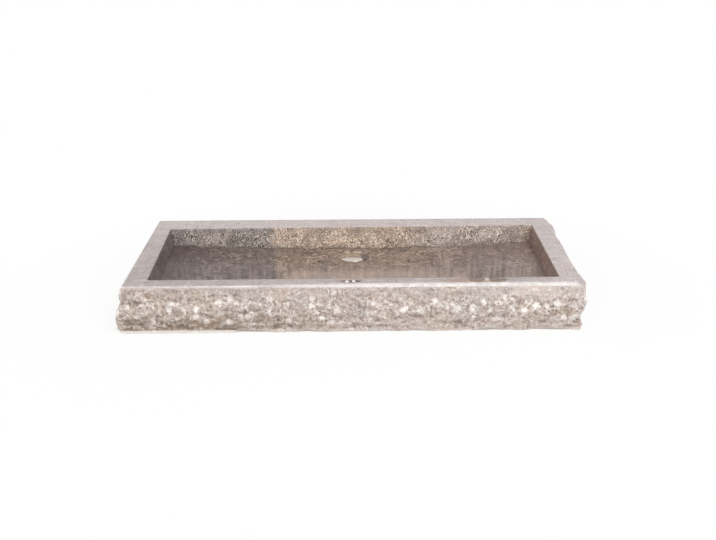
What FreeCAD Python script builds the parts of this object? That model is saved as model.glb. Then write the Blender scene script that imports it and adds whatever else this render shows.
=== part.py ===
import FreeCAD, Part
import math
import os

# Carved stone vessel sink with a push-to-open waste, in millimetres.
# +X runs along the length, -Y is the front, +Z is up.
# The origin is the middle of the flat base, on the plane that the stone stands on.

V = FreeCAD.Vector
Z_AXIS = V(0, 0, 1)

# Stone block
RIM_LENGTH = 900.0
RIM_DEPTH = 450.0
HEIGHT = 97.0
ARRIS = 4.0
INNER_ARRIS = 1.5

# Rim widths round the carved basin, which was set out by eye and is a little out of square
RIM_FRONT_LEFT = 35.5
RIM_FRONT_RIGHT = 39.0
RIM_BACK_LEFT = 66.0
RIM_BACK_RIGHT = 52.0
RIM_LEFT_FRONT = 42.0
RIM_LEFT_BACK = 34.5
RIM_RIGHT = 41.0

# Basin
WALL_DRAFT_DEG = 12.0
END_RISE = 13.0
FLOOR_FALL = 2.0
DRAIN_FROM_BACK_WALL = 79.0

# Hewn sides: how far each side stands out past the rim at these shares of the height
ROW_SHARES = (0.00, 0.10, 0.19, 0.32, 0.45, 0.62, 0.79)
FRONT_BULGE = (1.0, 4.0, 6.0, 7.0, 7.0, 6.0, 5.0)
BACK_BULGE = (1.0, 5.0, 7.0, 8.0, 7.0, 6.0, 5.0)
LEFT_BULGE = (9.0, 16.0, 20.0, 19.0, 16.0, 11.0, 7.0)
RIGHT_BULGE = (-6.0, -1.0, -2.0, -4.0, 4.0, 7.0, 5.0)
FACET_PITCH = 30.0
FACET_RELIEF = 3.0
RIGHT_EDGE_WAVER = 2.0

# Waste body: its tail has the 1 1/4 inch pipe thread of basin wastes
TAIL_DIAMETER = 41.9
TAIL_WALL = 2.95
TAIL_LENGTH = 11.5
TAIL_GROOVE = 1.0
TAIL_GROOVE_DEPTH = 0.6
TAIL_CLEARANCE = 2.0
FLANGE_THICKNESS = 2.5
FLANGE_BEARING = 9.5
SEAT_DEPTH = 4.5
SEAT_LIP = 0.3
CROSS_HEIGHT = 4.0
CROSS_ARM = 3.0
BOSS_WALL = 3.5

# Drain hole and the hollow under the stone
STONE_WEB = 17.5
HOLE_CLEARANCE = 1.5
RECESS_CLEARANCE = 1.0
SPANNER_ROOM = 22.0

# Gaskets, washer and nut
FLANGE_GASKET = 1.5
GASKET_INSET = 0.5
UNDER_GASKET = 4.0
UNDER_GASKET_TAPER = 2.0
SLIP_WASHER = 1.5
WASHER_WIDTH = 9.0
SLIDE_ON_CLEARANCE = 0.3
NUT_HEIGHT = 8.0
NUT_WALL = 5.0
NUT_CHAMFER = 1.2

# Click cartridge
CLICK_TRAVEL = 7.0
OVERTRAVEL = 0.8
STEM_DIAMETER = 6.0
RUNNING_FIT = 0.08
END_PLAY = 0.2
SLEEVE_BORE = 12.0
SLEEVE_FLOOR = 2.0
SPIGOT_DIAMETER = 8.0
SPIGOT_LENGTH = 3.5
BUSH_DEPTH = 1.7
BUSH_FLANGE = 0.8
DRUM_GAP = 0.3
DRUM_END = 1.9
DRUM_CYCLES = 4
BALL_DIAMETER = 2.4
BALL_STAND_OFF = 0.2
GROOVE_CLEARANCE = 0.15
GROOVE_CORNER_RELIEF = 0.1
BALL_HOLE_CLEARANCE = 0.05
BALL_CLIP_HEIGHT = 3.2
BALL_CLIP_GAP = 0.1
BALL_CLIP_GROOVE = 0.3
BALL_CLIP_THICKNESS = 0.6
BALL_CLIP_OPENING = 5.0
STEM_CLIP_THICKNESS = 0.8
STEM_CLIP_GROOVE = 0.6
STEM_CLIP_WIDTH = 2.0
STEM_CLIP_OPENING = 3.2
STEM_CLIP_ROOM = 0.6
COLLAR_THICKNESS = 1.2
COLLAR_WIDTH = 2.0
SPRING_LENGTH = 5.5
SPRING_WIRE = 0.8
SPRING_TURNS = 3.5
SPRING_GUIDE_GAP = 0.9
SPRING_END_GAP = 0.02
STEM_FOOT_GAP = 1.5

# Plug cap
CAP_INSET = 1.0
CAP_RISE = 3.8
CAP_WALL = 1.0
CAP_EDGE = 1.2
CAP_GAP = 0.5
HUB_DIAMETER = 14.0
HUB_DROP = 0.4
STEM_IN_HUB = 2.6
CARRIER_LIP = 1.0
CARRIER_FOOT = 1.2
CARRIER_CLEARANCE = 1.6
SEAL_THICKNESS = 1.8
SEAL_GROOVE = 2.5
SEAL_GAP = 0.15
CAP_NUT_HEIGHT = 2.2
CAP_NUT_WIDTH = 10.0
CAP_NUT_ROOM = 0.4

# Heights of the waste, stacked up from the plane that the stone stands on
TAIL_Z = TAIL_CLEARANCE
NUT_Z = TAIL_Z + TAIL_LENGTH
WASHER_Z = NUT_Z + NUT_HEIGHT
UNDER_GASKET_Z = WASHER_Z + SLIP_WASHER
WEB_Z = UNDER_GASKET_Z + UNDER_GASKET
RECESS_Z = WEB_Z + STONE_WEB
FLANGE_UNDER_Z = RECESS_Z + FLANGE_GASKET
FLANGE_TOP_Z = FLANGE_UNDER_Z + FLANGE_THICKNESS
FLOOR_Z = FLANGE_TOP_Z

# Radii of the waste, worked outwards from the tail
TAIL_R = TAIL_DIAMETER / 2
BORE_R = TAIL_R - TAIL_WALL
HOLE_R = TAIL_R + HOLE_CLEARANCE
FLANGE_R = HOLE_R + FLANGE_BEARING
RECESS_R = FLANGE_R + RECESS_CLEARANCE
SLIDE_ON_R = TAIL_R + SLIDE_ON_CLEARANCE
NUT_FLAT_R = TAIL_R + NUT_WALL
NUT_CORNER_R = NUT_FLAT_R / math.cos(math.radians(30))
HOLLOW_R = NUT_CORNER_R + SPANNER_ROOM

# Heights and radii of the plug and its cartridge when the plug is shut, worked down from the flange
CAP_R = FLANGE_R - CAP_INSET
CAP_Z = FLANGE_TOP_Z + CAP_GAP
HUB_Z = CAP_Z - HUB_DROP
HUB_R = HUB_DIAMETER / 2
STEM_R = STEM_DIAMETER / 2
SEAL_TOP_Z = HUB_Z - CARRIER_LIP
SEAL_Z = SEAL_TOP_Z - SEAL_THICKNESS
CARRIER_Z = SEAL_Z - CARRIER_FOOT
BUSH_TOP_Z = CARRIER_Z - OVERTRAVEL
SLEEVE_TOP_Z = BUSH_TOP_Z - BUSH_FLANGE
BUSH_Z = SLEEVE_TOP_Z - BUSH_DEPTH
STEM_CLIP_Z = BUSH_Z - CLICK_TRAVEL - STEM_CLIP_ROOM - STEM_CLIP_THICKNESS
DRUM_HEIGHT = CLICK_TRAVEL + 2 * DRUM_END
DRUM_Z = STEM_CLIP_Z - END_PLAY - DRUM_HEIGHT
COLLAR_Z = DRUM_Z - END_PLAY - COLLAR_THICKNESS
SLEEVE_FLOOR_Z = COLLAR_Z - SPRING_LENGTH
SLEEVE_Z = SLEEVE_FLOOR_Z - SLEEVE_FLOOR
CROSS_Z = SLEEVE_Z - CROSS_HEIGHT
BALL_Z = DRUM_Z + DRUM_HEIGHT - DRUM_END
SLEEVE_BORE_R = SLEEVE_BORE / 2
SPIGOT_R = SPIGOT_DIAMETER / 2
BOSS_R = SPIGOT_R + BOSS_WALL
DRUM_R = SLEEVE_BORE_R - DRUM_GAP
BALL_R = BALL_DIAMETER / 2
BALL_CENTRE_R = DRUM_R + BALL_STAND_OFF
BALL_CLIP_R = BALL_CENTRE_R + BALL_R + BALL_CLIP_GAP
SLEEVE_R = BALL_CLIP_R + BALL_CLIP_GROOVE
GUIDE_R = STEM_R + RUNNING_FIT

# Place of the drain, and reach of the tools that cut the stone
DRAIN_Y = RIM_DEPTH / 2 - (RIM_BACK_LEFT + RIM_BACK_RIGHT) / 2 - DRAIN_FROM_BACK_WALL
PAST = 10.0


def outline(start, *steps):
    """A closed wire in the XZ plane: a step is a point, or a pair of points that an arc goes through."""
    edges = []
    here = V(start[0], 0, start[1])
    for step in steps + (start,):
        if isinstance(step[0], tuple):
            through, end = (V(p[0], 0, p[1]) for p in step)
            edges.append(Part.Arc(here, through, end).toShape())
        else:
            end = V(step[0], 0, step[1])
            edges.append(Part.LineSegment(here, end).toShape())
        here = end
    return Part.Wire(edges)


def turned(start, *steps):
    """A solid of revolution about Z from an outline of radius and height."""
    return Part.Face(outline(start, *steps)).revolve(V(0, 0, 0), Z_AXIS, 360)


def ring(inner, outer, z, height):
    """A plain flat ring."""
    return turned((inner, z), (outer, z), (outer, z + height), (inner, z + height))


def rod(radius, z, height):
    """A plain upright rod."""
    return Part.makeCylinder(radius, height, V(0, 0, z))


def hexagon(flat_radius, z, height):
    """An upright hexagonal bar, measured from its axis to a flat."""
    corner = flat_radius / math.cos(math.radians(30))
    turns = [math.radians(60 * k) for k in range(7)]
    wire = Part.makePolygon([V(corner * math.cos(a), corner * math.sin(a), z) for a in turns])
    return Part.Face(wire).extrude(V(0, 0, height))


def at_drain(shape):
    """The shape, moved from the Z axis to the drain."""
    return shape.translated(V(0, DRAIN_Y, 0))


def chip(column, row):
    """A repeatable value from -1 to 1 that stands for one blow of the mason's chisel."""
    return 2 * (math.sin(12.9898 * column + 78.233 * row) * 43758.5453 % 1) - 1


def side_columns():
    """The rim's outline, counter-clockwise from the front left corner: each (x, y, outward x, outward y)."""
    half_x, half_y = RIM_LENGTH / 2, RIM_DEPTH / 2
    along = max(2, round(RIM_LENGTH / FACET_PITCH))
    across = max(2, round(RIM_DEPTH / FACET_PITCH))
    columns = []
    for k in range(along):
        columns.append((-half_x + RIM_LENGTH * k / along, -half_y, -1 if k == 0 else 0, -1))
    for k in range(across):
        columns.append((half_x, -half_y + RIM_DEPTH * k / across, 1, -1 if k == 0 else 0))
    for k in range(along):
        columns.append((half_x - RIM_LENGTH * k / along, half_y, 1 if k == 0 else 0, 1))
    for k in range(across):
        columns.append((-half_x, half_y - RIM_DEPTH * k / across, -1, 1 if k == 0 else 0))
    return columns


def hewn_rings():
    """Rings of points up the hewn sides, from the base to the rim."""
    columns = side_columns()
    rings = []
    for row, share in enumerate(ROW_SHARES):
        points = []
        for k, (x, y, out_x, out_y) in enumerate(columns):
            bulge_x = (LEFT_BULGE if out_x < 0 else RIGHT_BULGE)[row]
            bulge_y = (FRONT_BULGE if out_y < 0 else BACK_BULGE)[row]
            relief = FACET_RELIEF * chip(k, row)
            points.append(V(x + out_x * (bulge_x + relief), y + out_y * (bulge_y + relief), share * HEIGHT))
        rings.append(points)
    for height, reach in ((HEIGHT - ARRIS, ARRIS), (HEIGHT, 0)):
        points = []
        for k, (x, y, out_x, out_y) in enumerate(columns):
            waver = RIGHT_EDGE_WAVER * chip(k, 0) if out_x > 0 and out_y == 0 else 0
            points.append(V(x + out_x * (reach + waver), y + out_y * reach, height))
        rings.append(points)
    return rings


def opening(z, spread):
    """Corners of the basin's four-sided outline at a height, spread outwards by so much."""
    left, right = -RIM_LENGTH / 2, RIM_LENGTH / 2 - RIM_RIGHT
    front, back = -RIM_DEPTH / 2, RIM_DEPTH / 2
    corners = [
        V(left + RIM_LEFT_FRONT, front + RIM_FRONT_LEFT, z),
        V(right, front + RIM_FRONT_RIGHT, z),
        V(right, back - RIM_BACK_RIGHT, z),
        V(left + RIM_LEFT_BACK, back - RIM_BACK_LEFT, z),
    ]
    ways = [(corners[(k + 1) % 4] - corners[k]).cross(Z_AXIS).normalize() for k in range(4)]
    mitres = [(ways[k - 1] + ways[k]) / (1 + ways[k - 1].dot(ways[k])) for k in range(4)]
    return [corner + mitre * spread for corner, mitre in zip(corners, mitres)]


def flat_faced(rings, split):
    """A solid between rings of points, the lowest first; split cuts each panel into two triangles."""
    count = len(rings[0])
    faces = []
    for row in range(len(rings) - 1):
        low, high = rings[row], rings[row + 1]
        for k in range(count):
            n = (k + 1) % count
            if not split:
                panels = ((low[k], low[n], high[n], high[k]),)
            elif (k + row) % 2:
                panels = (low[k], low[n], high[n]), (low[k], high[n], high[k])
            else:
                panels = (low[k], low[n], high[k]), (low[n], high[n], high[k])
            faces.extend(Part.Face(Part.makePolygon(panel + panel[:1])) for panel in panels)
    for points in (rings[0], rings[-1]):
        faces.append(Part.Face(Part.makePolygon(points + points[:1])))
    solid = Part.makeSolid(Part.makeShell(faces))
    if solid.Volume < 0:
        solid.reverse()
    return solid.removeSplitter()


def basin_room():
    """The hollow of the basin: drafted walls and a floor that is dished along its length and falls to the back."""
    draft = math.tan(math.radians(WALL_DRAFT_DEG))
    drop = HEIGHT - RECESS_Z
    top_z, foot_z = HEIGHT + PAST, HEIGHT - drop
    walls = flat_faced([opening(foot_z, -drop * draft), opening(top_z, PAST * draft)], False)
    half, end_z = RIM_LENGTH / 2, FLOOR_Z + END_RISE + FLOOR_FALL
    dish = outline((-half, top_z + PAST), (-half, end_z), ((0, FLOOR_Z + FLOOR_FALL), (half, end_z)),
                   (half, top_z + PAST))
    dish.translate(V(0, -RIM_DEPTH / 2, 0))
    return walls.common(Part.Face(dish).extrude(V(0, RIM_DEPTH, -FLOOR_FALL)))


def stone_basin():
    """The carved block with its drain hole, the flange's recess and the hollow under it."""
    flare = [opening(HEIGHT - INNER_ARRIS, 0), opening(HEIGHT + INNER_ARRIS, 2 * INNER_ARRIS)]
    drain = rod(RECESS_R, RECESS_Z, FLOOR_Z - RECESS_Z + FLOOR_FALL)
    drain = drain.fuse([rod(HOLE_R, 0, RECESS_Z), rod(HOLLOW_R, -PAST, PAST + WEB_Z)])
    return flat_faced(hewn_rings(), True).cut([basin_room(), flat_faced(flare, False), at_drain(drain)])


def waste_body():
    """Flange, tail and the cross for the cartridge; a groove parts the trap's thread from the nut's."""
    lip_z, groove_z, groove_r = FLANGE_TOP_Z - SEAT_LIP, NUT_Z - TAIL_GROOVE, TAIL_R - TAIL_GROOVE_DEPTH
    shell = turned((BORE_R, TAIL_Z), (TAIL_R, TAIL_Z), (TAIL_R, groove_z), (groove_r, groove_z),
                   (groove_r, NUT_Z), (TAIL_R, NUT_Z), (TAIL_R, FLANGE_UNDER_Z), (FLANGE_R, FLANGE_UNDER_Z),
                   (FLANGE_R, FLANGE_TOP_Z), (TAIL_R, lip_z), (BORE_R, FLANGE_TOP_Z - SEAT_DEPTH))
    reach = BORE_R + TAIL_WALL / 2
    arm = Part.makeBox(2 * reach, CROSS_ARM, CROSS_HEIGHT, V(-reach, -CROSS_ARM / 2, CROSS_Z))
    other_arm = arm.rotated(V(0, 0, 0), Z_AXIS, 90)
    cross = arm.fuse([other_arm, rod(BOSS_R, CROSS_Z, CROSS_HEIGHT)])
    return shell.fuse(cross).cut(rod(SPIGOT_R, CROSS_Z, CROSS_HEIGHT)).removeSplitter()


def flange_gasket():
    return ring(SLIDE_ON_R, FLANGE_R - GASKET_INSET, RECESS_Z, FLANGE_GASKET)


def under_gasket():
    outer = SLIDE_ON_R + WASHER_WIDTH
    return turned((SLIDE_ON_R, UNDER_GASKET_Z), (outer, UNDER_GASKET_Z),
                  (outer - UNDER_GASKET_TAPER, WEB_Z), (SLIDE_ON_R, WEB_Z))


def slip_washer():
    return ring(SLIDE_ON_R, SLIDE_ON_R + WASHER_WIDTH, WASHER_Z, SLIP_WASHER)


def lock_nut():
    """A hexagon nut with its corners turned off at both faces."""
    bar = hexagon(NUT_FLAT_R, NUT_Z, NUT_HEIGHT)
    face_r, top_z = NUT_CORNER_R - NUT_CHAMFER, NUT_Z + NUT_HEIGHT
    blank = turned((TAIL_R, NUT_Z), (face_r, NUT_Z), (NUT_CORNER_R, NUT_Z + NUT_CHAMFER / 2),
                   (NUT_CORNER_R, top_z - NUT_CHAMFER / 2), (face_r, top_z), (TAIL_R, top_z))
    return bar.common(blank)


def click_sleeve():
    """The cartridge's housing, with its screwed spigot and the two holes that hold the balls."""
    sleeve = turned((0, SLEEVE_Z - SPIGOT_LENGTH), (SPIGOT_R, SLEEVE_Z - SPIGOT_LENGTH), (SPIGOT_R, SLEEVE_Z),
                    (SLEEVE_R, SLEEVE_Z), (SLEEVE_R, SLEEVE_TOP_Z), (SLEEVE_BORE_R, SLEEVE_TOP_Z),
                    (SLEEVE_BORE_R, SLEEVE_FLOOR_Z), (0, SLEEVE_FLOOR_Z))
    across = V(-SLEEVE_R - PAST, 0, BALL_Z)
    holes = Part.makeCylinder(BALL_R + BALL_HOLE_CLEARANCE, -2 * across.x, across, V(1, 0, 0))
    band = ring(BALL_CLIP_R, SLEEVE_R + PAST, BALL_Z - BALL_CLIP_HEIGHT / 2, BALL_CLIP_HEIGHT)
    return sleeve.cut([holes, band])


def sleeve_bush():
    """The flanged bush that guides the stem and keeps the drum in."""
    return turned((GUIDE_R, BUSH_Z), (SLEEVE_BORE_R, BUSH_Z), (SLEEVE_BORE_R, SLEEVE_TOP_Z),
                  (SLEEVE_R, SLEEVE_TOP_Z), (SLEEVE_R, BUSH_TOP_Z), (GUIDE_R, BUSH_TOP_Z))


def index_balls():
    """The two balls that run in the drum's groove."""
    balls = [Part.makeSphere(BALL_R, V(side * BALL_CENTRE_R, 0, BALL_Z)) for side in (-1, 1)]
    return Part.makeCompound(balls)


def ball_clip():
    """The open spring band that keeps the balls in their holes."""
    outer, low = BALL_CLIP_R + BALL_CLIP_THICKNESS, BALL_Z - BALL_CLIP_HEIGHT / 2
    gap = Part.makeBox(BALL_CLIP_OPENING, 2 * outer, BALL_CLIP_HEIGHT, V(-BALL_CLIP_OPENING / 2, 0, low))
    return ring(BALL_CLIP_R, outer, low, BALL_CLIP_HEIGHT).cut(gap)


def groove_corner(k):
    """A corner of the drum's zigzag groove: the even ones are at its top."""
    turn = math.pi * k / DRUM_CYCLES
    low = DRUM_Z + DRUM_END
    return turn, low if k % 2 else low + CLICK_TRAVEL


def on_drum(turn, z):
    """The point of the groove's middle line at that angle and height."""
    return V(BALL_CENTRE_R * math.cos(turn), BALL_CENTRE_R * math.sin(turn), z)


def index_drum():
    """The drum that turns one step as the plug rises: a zigzag groove round a plain bush."""
    drum = ring(GUIDE_R, DRUM_R, DRUM_Z, DRUM_HEIGHT)
    radius = BALL_R + GROOVE_CLEARANCE
    legs = range(2 * DRUM_CYCLES)
    for k in legs:
        drum = drum.cut(Part.makeSphere(radius + GROOVE_CORNER_RELIEF, on_drum(*groove_corner(k))))
    for k in legs:
        (turn, z), (next_turn, next_z) = groove_corner(k), groove_corner(k + 1)
        start, end = on_drum(turn, z), on_drum(next_turn, next_z)
        middle = on_drum((turn + next_turn) / 2, (z + next_z) / 2)
        arc = Part.Arc(start, middle, end).toShape()
        mouth = Part.Face(Part.Wire(Part.makeCircle(radius, start, arc.tangentAt(arc.FirstParameter))))
        sweep = math.degrees(arc.LastParameter - arc.FirstParameter)
        drum = drum.cut(mouth.revolve(arc.Curve.Center, arc.Curve.Axis, sweep))
    return drum


def return_spring():
    """The coil that lifts the plug, shown as short as it is when the plug is shut."""
    wire_r = SPRING_WIRE / 2
    coil_r = STEM_R + SPRING_GUIDE_GAP + wire_r
    low = SLEEVE_FLOOR_Z + wire_r + SPRING_END_GAP
    rise = SPRING_LENGTH - SPRING_WIRE - 2 * SPRING_END_GAP
    quarters = round(4 * SPRING_TURNS)

    def along(share):
        turn = 2 * math.pi * SPRING_TURNS * share
        return V(coil_r * math.cos(turn), coil_r * math.sin(turn), low + rise * share)

    arcs = []
    for k in range(quarters):
        start, middle, end = (along((k + part) / quarters) for part in (0, 0.5, 1))
        arcs.append(Part.Arc(start, middle, end).toShape())
    path = Part.Wire(arcs)
    tangent = path.Edges[0].tangentAt(path.Edges[0].FirstParameter)
    section = Part.Wire(Part.makeCircle(wire_r, along(0), tangent))
    print("return spring: least gap between turns %.2f mm" % (rise / SPRING_TURNS - SPRING_WIRE))
    return path.makePipeShell([section], True, False)


def stem():
    """The plug's stem: foot, collar, clip groove and the end that screws into the cap."""
    collar_r, groove_r = STEM_R + COLLAR_WIDTH, STEM_R - STEM_CLIP_GROOVE
    clip_top_z, collar_top_z = STEM_CLIP_Z + STEM_CLIP_THICKNESS, COLLAR_Z + COLLAR_THICKNESS
    foot_z, top_z = SLEEVE_FLOOR_Z + STEM_FOOT_GAP, HUB_Z + STEM_IN_HUB
    return turned((0, foot_z), (STEM_R, foot_z), (STEM_R, COLLAR_Z), (collar_r, COLLAR_Z),
                  (collar_r, collar_top_z), (STEM_R, collar_top_z), (STEM_R, STEM_CLIP_Z),
                  (groove_r, STEM_CLIP_Z), (groove_r, clip_top_z), (STEM_R, clip_top_z),
                  (STEM_R, top_z), (0, top_z))


def stem_clip():
    """The open clip in the stem's groove that holds the drum down on the collar."""
    inner, outer = STEM_R - STEM_CLIP_GROOVE, STEM_R + STEM_CLIP_WIDTH
    clip = ring(inner, outer, STEM_CLIP_Z, STEM_CLIP_THICKNESS)
    gap = Part.makeBox(STEM_CLIP_OPENING, 2 * outer, STEM_CLIP_THICKNESS,
                       V(-STEM_CLIP_OPENING / 2, 0, STEM_CLIP_Z))
    return clip.cut(gap)


def cap():
    """The domed cap with the hub that its stem screws into."""
    edge_z, crown_z = CAP_Z + CAP_EDGE, CAP_Z + CAP_RISE
    rise = crown_z - edge_z
    radius = (CAP_R ** 2 + rise ** 2) / (2 * rise)
    centre_z = crown_z - radius

    def dome(r, ball):
        return r, centre_z + math.sqrt(ball ** 2 - r ** 2)

    inner, inner_r = radius - CAP_WALL, CAP_R - CAP_WALL
    hub_top = dome(HUB_R, inner)
    return turned((0, HUB_Z + STEM_IN_HUB), (STEM_R, HUB_Z + STEM_IN_HUB), (STEM_R, HUB_Z), (HUB_R, HUB_Z),
                  hub_top, (dome((HUB_R + inner_r) / 2, inner), dome(inner_r, inner)), (inner_r, CAP_Z),
                  (CAP_R, CAP_Z), (CAP_R, edge_z), (dome(CAP_R / 2, radius), (0, crown_z)))


def seat_radius(z):
    """The radius of the flange's sealing cone at a height."""
    low, high = FLANGE_TOP_Z - SEAT_DEPTH, FLANGE_TOP_Z - SEAT_LIP
    return BORE_R + (TAIL_R - BORE_R) * (z - low) / (high - low)


def seal_carrier():
    """The grooved disc under the cap that holds the seal, hollowed below for its nut."""
    lip_r = seat_radius(SEAL_Z) - CARRIER_CLEARANCE
    groove_r = lip_r - SEAL_GROOVE
    nut_r = CAP_NUT_WIDTH / 2 / math.cos(math.radians(30)) + CAP_NUT_ROOM
    nut_z = CARRIER_Z + CAP_NUT_HEIGHT
    return turned((nut_r, CARRIER_Z), (lip_r, CARRIER_Z), (lip_r, SEAL_Z), (groove_r, SEAL_Z),
                  (groove_r, SEAL_TOP_Z), (lip_r, SEAL_TOP_Z), (lip_r, HUB_Z), (STEM_R, HUB_Z),
                  (STEM_R, nut_z), (nut_r, nut_z))


def cap_seal():
    """The rubber ring that shuts against the flange's cone."""
    lip_r = seat_radius(SEAL_Z) - CARRIER_CLEARANCE
    return turned((lip_r - SEAL_GROOVE, SEAL_Z), (seat_radius(SEAL_Z) - SEAL_GAP, SEAL_Z),
                  (seat_radius(SEAL_TOP_Z) - SEAL_GAP, SEAL_TOP_Z), (lip_r - SEAL_GROOVE, SEAL_TOP_Z))


def cap_nut():
    """The thin nut that clamps the carrier to the hub."""
    return hexagon(CAP_NUT_WIDTH / 2, CARRIER_Z, CAP_NUT_HEIGHT).cut(rod(STEM_R, CARRIER_Z, CAP_NUT_HEIGHT))


def main():
    os.makedirs("parts", exist_ok=True)
    print("floor %.1f, flange %.1f, cross %.1f mm above the base" % (FLOOR_Z, FLANGE_TOP_Z, CROSS_Z))
    stone_basin().exportStep("parts/stone_basin.step")
    makers = (waste_body, flange_gasket, under_gasket, slip_washer, lock_nut, click_sleeve, sleeve_bush,
              index_balls, ball_clip, index_drum, return_spring, stem, stem_clip, cap, seal_carrier,
              cap_seal, cap_nut)
    for maker in makers:
        at_drain(maker()).exportStep("parts/%s.step" % maker.__name__)


main()
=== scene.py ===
"""Dressed scene of a carved stone vessel sink with a push-to-open waste.

Metres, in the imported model's frame: the origin is the middle of the flat base, +X runs along the length,
-Y is the front and +Z is up.
"""
import logging
import math
from collections.abc import Iterable
from dataclasses import dataclass, field
from enum import Enum, IntEnum
from functools import cached_property
from typing import ClassVar

import bmesh
import bpy
from mathutils import Matrix, Vector, noise


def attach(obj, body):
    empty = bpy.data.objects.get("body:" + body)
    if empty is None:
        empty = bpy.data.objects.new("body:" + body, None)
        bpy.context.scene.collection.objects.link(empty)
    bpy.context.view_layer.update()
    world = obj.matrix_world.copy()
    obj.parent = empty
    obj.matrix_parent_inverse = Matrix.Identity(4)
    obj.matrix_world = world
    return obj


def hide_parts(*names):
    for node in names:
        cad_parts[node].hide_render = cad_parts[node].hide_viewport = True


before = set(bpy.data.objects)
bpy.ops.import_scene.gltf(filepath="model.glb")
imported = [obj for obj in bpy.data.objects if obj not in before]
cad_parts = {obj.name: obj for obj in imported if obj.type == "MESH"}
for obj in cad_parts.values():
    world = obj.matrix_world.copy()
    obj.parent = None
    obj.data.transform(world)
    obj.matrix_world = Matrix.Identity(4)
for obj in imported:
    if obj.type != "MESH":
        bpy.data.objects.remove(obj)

LOG = logging.getLogger("stone_sink")
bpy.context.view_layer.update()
MM = 0.001
STONE_IOR = 1.5

Pair = tuple[float, float]
Triple = tuple[float, float, float]
Profile = tuple[Pair, ...]
Patch = tuple[Triple, Triple]
Tones = tuple[Triple, Triple]
Breaks = tuple[float, Pair, float]


class Zone(IntEnum):
    """The stone's finishes, in the order of its material slots."""

    SPLIT = 0
    HONED = 1
    WALL = 2
    # The end walls: the walls' stone in darker colours, as painted shade.
    END = 3
    FLOOR = 4
    SAWN = 5


class Body(Enum):
    """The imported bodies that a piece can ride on."""

    BASIN = "basin"
    PLUG = "plug"


@dataclass(frozen=True)
class RimSize:
    """The stone's main sizes and the drain's place, which several pieces share."""

    length: float = 0.900
    depth: float = 0.450
    height: float = 0.097
    arris: float = 0.004
    drain_y: float = 0.087

    @property
    def split_top(self) -> float:
        """The height at which the split sides end and the arris begins."""
        return self.height - self.arris


RIM = RimSize()


def smooth(low: float, high: float, value: float) -> float:
    """A smooth step from 0 at low to 1 at high; low may be above high."""
    share = min(1.0, max(0.0, (value - low) / (high - low)))
    return share * share * (3.0 - 2.0 * share)


def between(points: Profile, at: float) -> float:
    """A smooth curve through a few (place, value) points.

    Args:
        points: The points, in rising order of place.
        at: The place to read.

    Returns:
        The value there, held flat past both ends.
    """
    for (low, first), (high, second) in zip(points, points[1:]):
        if at <= high:
            return first + (second - first) * smooth(low, high, at)
    return points[-1][1]


@dataclass(frozen=True)
class Value:
    """A node's output, with arithmetic that adds Math nodes to its sheet."""

    sheet: "NodeSheet"
    socket: bpy.types.NodeSocket

    def __add__(self, other: "Value | float") -> "Value":
        """The sum."""
        return self.sheet.maths("ADD", self, other)

    __radd__ = __add__

    def __mul__(self, other: "Value | float") -> "Value":
        """The product."""
        return self.sheet.maths("MULTIPLY", self, other)

    __rmul__ = __mul__

    def __sub__(self, other: "Value | float") -> "Value":
        """The difference."""
        return self.sheet.maths("SUBTRACT", self, other)

    def __rsub__(self, other: float) -> "Value":
        """The difference from a number."""
        return self.sheet.maths("SUBTRACT", other, self)

    def __truediv__(self, other: "Value | float") -> "Value":
        """The quotient."""
        return self.sheet.maths("DIVIDE", self, other)

    def __abs__(self) -> "Value":
        """The size without its sign."""
        return self.sheet.maths("ABSOLUTE", self)

    def __or__(self, other: "Value | float") -> "Value":
        """The larger of two masks."""
        return self.sheet.maths("MAXIMUM", self, other)

    def scaled(self, low: float, high: float) -> "Value":
        """A mask whose 0 becomes low and whose 1 becomes high."""
        return low + (high - low) * self

    def step(self, low: float, high: float) -> "Value":
        """A smooth step.

        Args:
            low: Where it is 0.
            high: Where it is 1, which may be below low.

        Returns:
            The step.
        """
        node = self.sheet.node("ShaderNodeMapRange", {"interpolation_type": "SMOOTHSTEP", "clamp": True},
                               {"Value": self, "From Min": low, "From Max": high})
        return self.sheet.out(node, "Result")


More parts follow.
